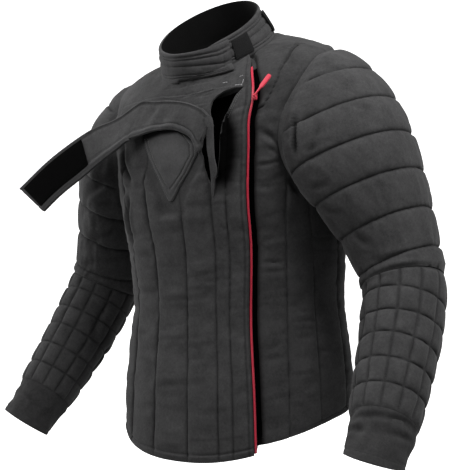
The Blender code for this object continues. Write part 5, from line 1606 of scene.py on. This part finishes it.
def tooth_mesh():
    """One zip tooth, across the chain."""
    half = np.array([0.00100, 0.00050, 0.00075])
    corners = np.array([(x, y, z) for z in (-1, 1) for y in (-1, 1) for x in (-1, 1)]) * half
    corners[4:, 1] *= 0.7
    faces = [[0, 2, 3, 1], [4, 5, 7, 6], [0, 1, 5, 4], [2, 6, 7, 3], [0, 4, 6, 2], [1, 3, 7, 5]]
    return add_mesh("tooth_source", corners, faces, RED_TEETH, 30)


def stitch_mesh(length, radius, finish):
    """One stitch, lying along X, thinner at its ends."""
    rings = ((-length / 2, 0.35), (-length / 3, 0.95), (length / 3, 0.95), (length / 2, 0.35))
    points = [(x, math.cos(a) * radius * r, math.sin(a) * radius * r)
              for x, r in rings for a in (0.0, 1.5708, 3.1416, 4.7124)]
    faces = [[4 * k + m, 4 * k + (m + 1) % 4, 4 * k + 4 + (m + 1) % 4, 4 * k + 4 + m]
             for k in range(3) for m in range(4)]
    faces += [[3, 2, 1, 0], [12, 13, 14, 15]]
    return add_mesh("stitch_source", points, faces, finish, 80)


def repeat_along(name, lines, source, pitch, finish):
    """Copies of a small mesh along lines of points, turned along them, as one plain mesh."""
    points = np.concatenate(lines)
    edges, start = [], 0
    for line in lines:
        edges += [(start + k, start + k + 1) for k in range(len(line) - 1)]
        start += len(line)
    mesh = bpy.data.meshes.new(name)
    mesh.from_pydata(points.tolist(), edges, [])
    thing = bpy.data.objects.new(name, mesh)
    bpy.context.scene.collection.objects.link(thing)
    tree = bpy.data.node_groups.new(name + "_nodes", "GeometryNodeTree")
    tree.interface.new_socket("Geometry", in_out="INPUT", socket_type="NodeSocketGeometry")
    pitch_socket = tree.interface.new_socket("Pitch", in_out="INPUT", socket_type="NodeSocketFloat")
    tree.interface.new_socket("Geometry", in_out="OUTPUT", socket_type="NodeSocketGeometry")
    made = {}
    for key, kind in (("in", "NodeGroupInput"), ("curve", "GeometryNodeMeshToCurve"),
                      ("even", "GeometryNodeResampleCurve"), ("tangent", "GeometryNodeInputTangent"),
                      ("turn", "FunctionNodeAlignRotationToVector"), ("source", "GeometryNodeObjectInfo"),
                      ("copies", "GeometryNodeInstanceOnPoints"), ("real", "GeometryNodeRealizeInstances"),
                      ("finish", "GeometryNodeSetMaterial"), ("out", "NodeGroupOutput")):
        made[key] = tree.nodes.new(kind)
    made["even"].mode = "LENGTH"
    made["turn"].axis = "X"
    made["source"].inputs["Object"].default_value = source
    made["finish"].inputs["Material"].default_value = finish
    for a, output, b, target in (
        ("in", "Geometry", "curve", "Mesh"), ("curve", "Curve", "even", "Curve"),
        ("in", "Pitch", "even", "Length"), ("even", "Curve", "copies", "Points"),
        ("tangent", "Tangent", "turn", "Vector"),
        ("turn", "Rotation", "copies", "Rotation"), ("source", "Geometry", "copies", "Instance"),
        ("copies", "Instances", "real", "Geometry"), ("real", "Geometry", "finish", "Geometry"),
        ("finish", "Geometry", "out", "Geometry"),
    ):
        tree.links.new(made[a].outputs[output], made[b].inputs[target])
    modifier = thing.modifiers.new("repeat", "NODES")
    modifier.node_group = tree
    modifier[pitch_socket.identifier] = pitch
    graph = bpy.context.evaluated_depsgraph_get()
    plain = bpy.data.meshes.new_from_object(thing.evaluated_get(graph))
    thing.modifiers.clear()
    thing.data = plain
    dressed(thing, [])
    bpy.data.objects.remove(source, do_unlink=True)


tooth_lines = []
for share in (0.34, 0.66):
    line, _ = on_chain(np.full(chain_up.shape, TAPE_WIDE * share), chain_up + (share > 0.5) * 0.0009,
                       np.full(chain_up.shape, CHAIN_TOP - 0.0004))
    tooth_lines.append(line[1:-1])
repeat_along("zip_teeth", tooth_lines, tooth_mesh(), 0.0019, RED_TEETH)

# Slider and its pull, seated on the hinge of the construction model
PULL_HALF = np.array([
    # along    half width
    (0.0016, 0.0012), (0.0060, 0.0012), (0.0105, 0.0015), (0.0145, 0.0020), (0.0165, 0.0031),
    (0.0190, 0.0036), (0.0330, 0.0038), (0.0365, 0.0036), (0.0385, 0.0020),
])
RING_RADIUS, RING_THICK, BRIDGE_THICK = 0.0019, 0.0006, 0.0008
PULL_PIVOT = (0.13992, -0.09144, -0.08951)
SLIDER_HALF_WIDE, SLIDER_HALF_LONG = 0.0033, 0.0050
slider_turn = spline(ZIP_UP, ZIP_TURN, np.array(SLIDER_UP)) + 0.9
out = body_normal(slider_turn, np.array(SLIDER_UP))
pivot = np.array(PULL_PIVOT)
seat = pivot - out * HINGE_HEIGHT
reach = body(*(np.array(v) for v in PULL_TARGET)) - seat
reach = unit(reach - out * (reach @ out))
hinge = np.cross(out, reach)
side_share, along_share = np.meshgrid(np.linspace(-1, 1, 13), np.linspace(-1, 1, 19))
above, below = (body(slider_turn, np.array(SLIDER_UP + step)) for step in (0.005, -0.005))
along_zip = unit(above - below)
across_zip = np.cross(along_zip, out)
slider_half = SLIDER_HALF_WIDE * (1 - 0.25 * np.clip(-along_share, 0, 1))
slider_face = seat + across_zip * (side_share * slider_half)[..., None] + out * 0.0010
slider_face = slider_face + along_zip * (along_share * SLIDER_HALF_LONG)[..., None]
dome = np.clip((1 - side_share ** 2) * (1 - along_share ** 4), 0, 1) ** 0.5 * 0.0032 + 0.0006
slider = sheet_mesh("slider_body", slider_face, np.broadcast_to(out, slider_face.shape), dome, RED_PULL, 0.0)
dressed(slider, ["zip_slider"])
bridge_path = np.array([(-0.0026, 0.0030), (-0.0026, 0.0058), (-0.0019, 0.0070), (0.0, HINGE_HEIGHT),
                        (0.0019, 0.0070), (0.0026, 0.0058), (0.0026, 0.0030)])
bridge_line = seat + bridge_path[:, :1] * hinge + bridge_path[:, 1:] * out
bridge = tube("slider_bridge", bridge_line, BRIDGE_THICK, RED_PULL, closed=False)
dressed(bridge, ["zip_slider"])
ring_angle = np.arange(24) * 2 * math.pi / 24
ring_path = pivot + RING_RADIUS * (np.cos(ring_angle)[:, None] * reach + np.sin(ring_angle)[:, None] * out)
ring = tube("pull_ring", ring_path, RING_THICK, RED_PULL)
pull_along = np.linspace(PULL_HALF[0, 0], PULL_HALF[-1, 0], 41)
pull_half = np.interp(pull_along, PULL_HALF[:, 0], PULL_HALF[:, 1])
pull_across = np.linspace(-1, 1, 13)
pull_face = (pivot + pull_along[:, None, None] * reach + (pull_half[:, None] * pull_across)[..., None] * hinge
             - out * 0.0011)
pull_thick = 0.0012 + 0.0012 * np.broadcast_to((1 - pull_across ** 4) ** 0.5, pull_face.shape[:2])
pull = sheet_mesh("pull_tab", pull_face, np.broadcast_to(out, pull_face.shape), pull_thick, RED_PULL, 0.0004)
for thing in (ring, pull):
    dressed(thing, ["zip_pull"], "pull")


# Sewing on the body
def on_front(turn, up, lift):
    """Points on the right front's cloth."""
    turn, up = np.asarray(turn, float), np.asarray(up, float)
    height = level_right_front(turn, up) - throat_dip(turn, up) + lift
    return body(turn, up) + body_normal(turn, up) * height[:, None]


for name, panel, *_ in BODY_SHEETS:
    outer = surfaces[name]
    rows = np.linspace(0, TOP_ROW, 260)
    for column in range(1, panel.count):
        beside = column <= panel.first or column >= panel.last
        if panel.first < column < panel.last or (panel.first == 0 and column < panel.last):
            turn, up = panel.place(column, rows)
            free = (up < quilt_top(name, turn) - 0.004) & (rows > 0.3)
            if name == "right_front":
                free &= (under_patch(turn, up) < 0.3) & ((turn < 12) | (turn > 24) | (up < 0.33))
                free &= body_painted_shade(name, turn, up) < 0.5
            sew("left" if name == "left_front" else "body", outer(column, rows, THREAD_LIFT), free)
        elif beside:
            sew("body", outer(column, rows[(rows > 0.3) & (rows < LOW_ROWS - 0.2)], THREAD_LIFT))
    columns = np.linspace(0, panel.count, 300)
    hem_row = HEM_BAND / LOW_CORNER_UP * LOW_ROWS
    sew("body", outer(columns, hem_row, TOPSTITCH_LIFT))

zip_up = np.linspace(0.012, NECK_UP - 0.02, 300)
zip_turn = spline(ZIP_UP, ZIP_TURN, zip_up)
sew("body", on_front(zip_turn - 0.0060 / metres_round(zip_turn, zip_up), zip_up, 0.0012))
for edge in (0.0024, 0.0075):
    for side in (0, 1):
        ups = np.linspace(PATCH_ROWS[1, 0] + 0.004, PATCH_ROWS[-2, 0], 60)
        left, right = (np.interp(ups, PATCH_ROWS[:, 0], PATCH_ROWS[:, k]) for k in (1, 2))
        share = edge / ((right - left) * CHEST_METRES)
        line, _ = patch_face(share if side == 0 else 1 - share, ups, TOPSTITCH_LIFT)
        sew("patch", line)

sew("body", on_front(np.linspace(*STITCH_TURN, 40), np.full(40, STITCH_UP), 0.0008))
for beside in (1.1, 2.3):
    facing_turn = np.linspace(23.6, 33.0, 50)
    facing_up = np.interp(facing_turn, (23.4, 25.2, 27.6, 30.8, 36.4), (0.497, 0.517, 0.535, 0.552, 0.564))
    sew("facing", on_front(facing_turn + beside, facing_up, 0.0010))
yoke_turn = np.linspace(YOKE_TURN[0] + 1, YOKE_TURN[-1] - 1, 120)
yoke_up = np.interp(yoke_turn, YOKE_TURN, YOKE_UP) + 0.003
sew("body", body(yoke_turn, yoke_up) + body_normal(yoke_turn, yoke_up) * (
    level_left_front(yoke_turn, yoke_up) + 0.0016)[:, None])
flap_turn = np.linspace(-42, 36.5, 240)
flap_up = np.interp(flap_turn, FLAP_TURN, FLAP_UP)
sew("body", on_front(flap_turn, flap_up - 0.0060, 0.0016))
# Bar tacks beside the throat, each between two places on the right front
TACKS = (
    ((31.2, 0.5985), (32.6, 0.5965)), ((37.0, 0.5690), (38.4, 0.5735)), ((38.4, 0.5735), (39.5, 0.5775)),
    ((40.9, 0.5920), (41.8, 0.5912)), ((34.6, 0.5760), (36.4, 0.5705)),
)
tack_lines = [on_front(np.linspace(a[0], b[0], 4), np.linspace(a[1], b[1], 4), 0.0030) for a, b in TACKS]
tack_source = stitch_mesh(0.0036, 0.00045, PALE_THREAD)
repeat_along("bar_tacks", tack_lines, tack_source, 0.0030, PALE_THREAD)

for thread, lines in SEWING.items():
    # The left front's and the facing's stitches take the lighter thread as a painted highlight
    finish = {"left": HIGHLIGHT_THREAD, "facing": HIGHLIGHT_THREAD, "patch": PATCH_THREAD}.get(thread, THREAD)
    repeat_along("stitches_" + thread, lines, stitch_mesh(0.0027, 0.00030, finish), 0.0036, finish)

# Studio
AZIMUTH = math.radians(39)
DISTANCE = 1.75
EYE = -0.378
FRAME_SIDE = 0.7661
SHIFT = (0.0113, 0.117)


def area_light(name, place, target, size, power):
    data = bpy.data.lights.new(name, "AREA")
    data.shape = "DISK"
    data.size = size
    data.energy = power
    lamp = bpy.data.objects.new(name, data)
    bpy.context.scene.collection.objects.link(lamp)
    lamp.location = place
    away = np.array(place) - np.array(target)
    flat_length = math.hypot(away[0], away[1])
    lamp.rotation_euler = (math.atan2(flat_length, away[2]), 0, math.atan2(away[0], -away[1]))


def backdrop():
    """Floor that curves up into a wall all round, of one pale colour."""
    profile = [(0.0, -0.74), (1.6, -0.74), (2.2, -0.70), (2.7, -0.50), (3.0, -0.10), (3.1, 0.6), (3.1, 3.2)]
    around = 64
    points = [(r * math.cos(a), r * math.sin(a), z) for r, z in profile
              for a in (2 * math.pi * k / around for k in range(around))]
    faces = [[k * around + m, k * around + (m + 1) % around, (k + 1) * around + (m + 1) % around,
              (k + 1) * around + m] for k in range(1, len(profile) - 1) for m in range(around)]
    faces.append([around + m for m in range(around)])
    shader = Shader("pale_floor")
    shader.set(Base_Color=(0.92, 0.92, 0.92, 1), Roughness=0.9)
    shader.set(Emission_Color=(1, 1, 1, 1), Emission_Strength=1.0)
    thing = add_mesh("floor", points, faces, shader.material, 60)
    thing.data.flip_normals()
    thing.visible_diffuse = False


backdrop()
area_light("key", (1.05, -0.25, 1.02), (0.12, 0.0, -0.2), 0.8, 26)
area_light("front", (-0.25, -1.82, 1.15), (0.0, 0.0, -0.3), 1.0, 20)
area_light("side", (-1.9, -0.5, 0.6), (-0.2, 0.0, -0.3), 1.2, 25)
world = bpy.data.worlds.new("studio")
world.use_nodes = True
world.node_tree.nodes["Background"].inputs["Color"].default_value = (1, 1, 1, 1)
world.node_tree.nodes["Background"].inputs["Strength"].default_value = 0.22
bpy.context.scene.world = world
bpy.context.scene.view_settings.view_transform = "Standard"

camera_data = bpy.data.cameras.new("camera")
camera_data.sensor_width = 36
camera_data.lens = 36 * DISTANCE / FRAME_SIDE
camera_data.shift_x, camera_data.shift_y = SHIFT
camera = bpy.data.objects.new("camera", camera_data)
bpy.context.scene.collection.objects.link(camera)
camera.location = (math.sin(AZIMUTH) * DISTANCE, -math.cos(AZIMUTH) * DISTANCE, EYE)
camera.rotation_euler = (math.pi / 2, 0, AZIMUTH)
bpy.context.scene.camera = camera
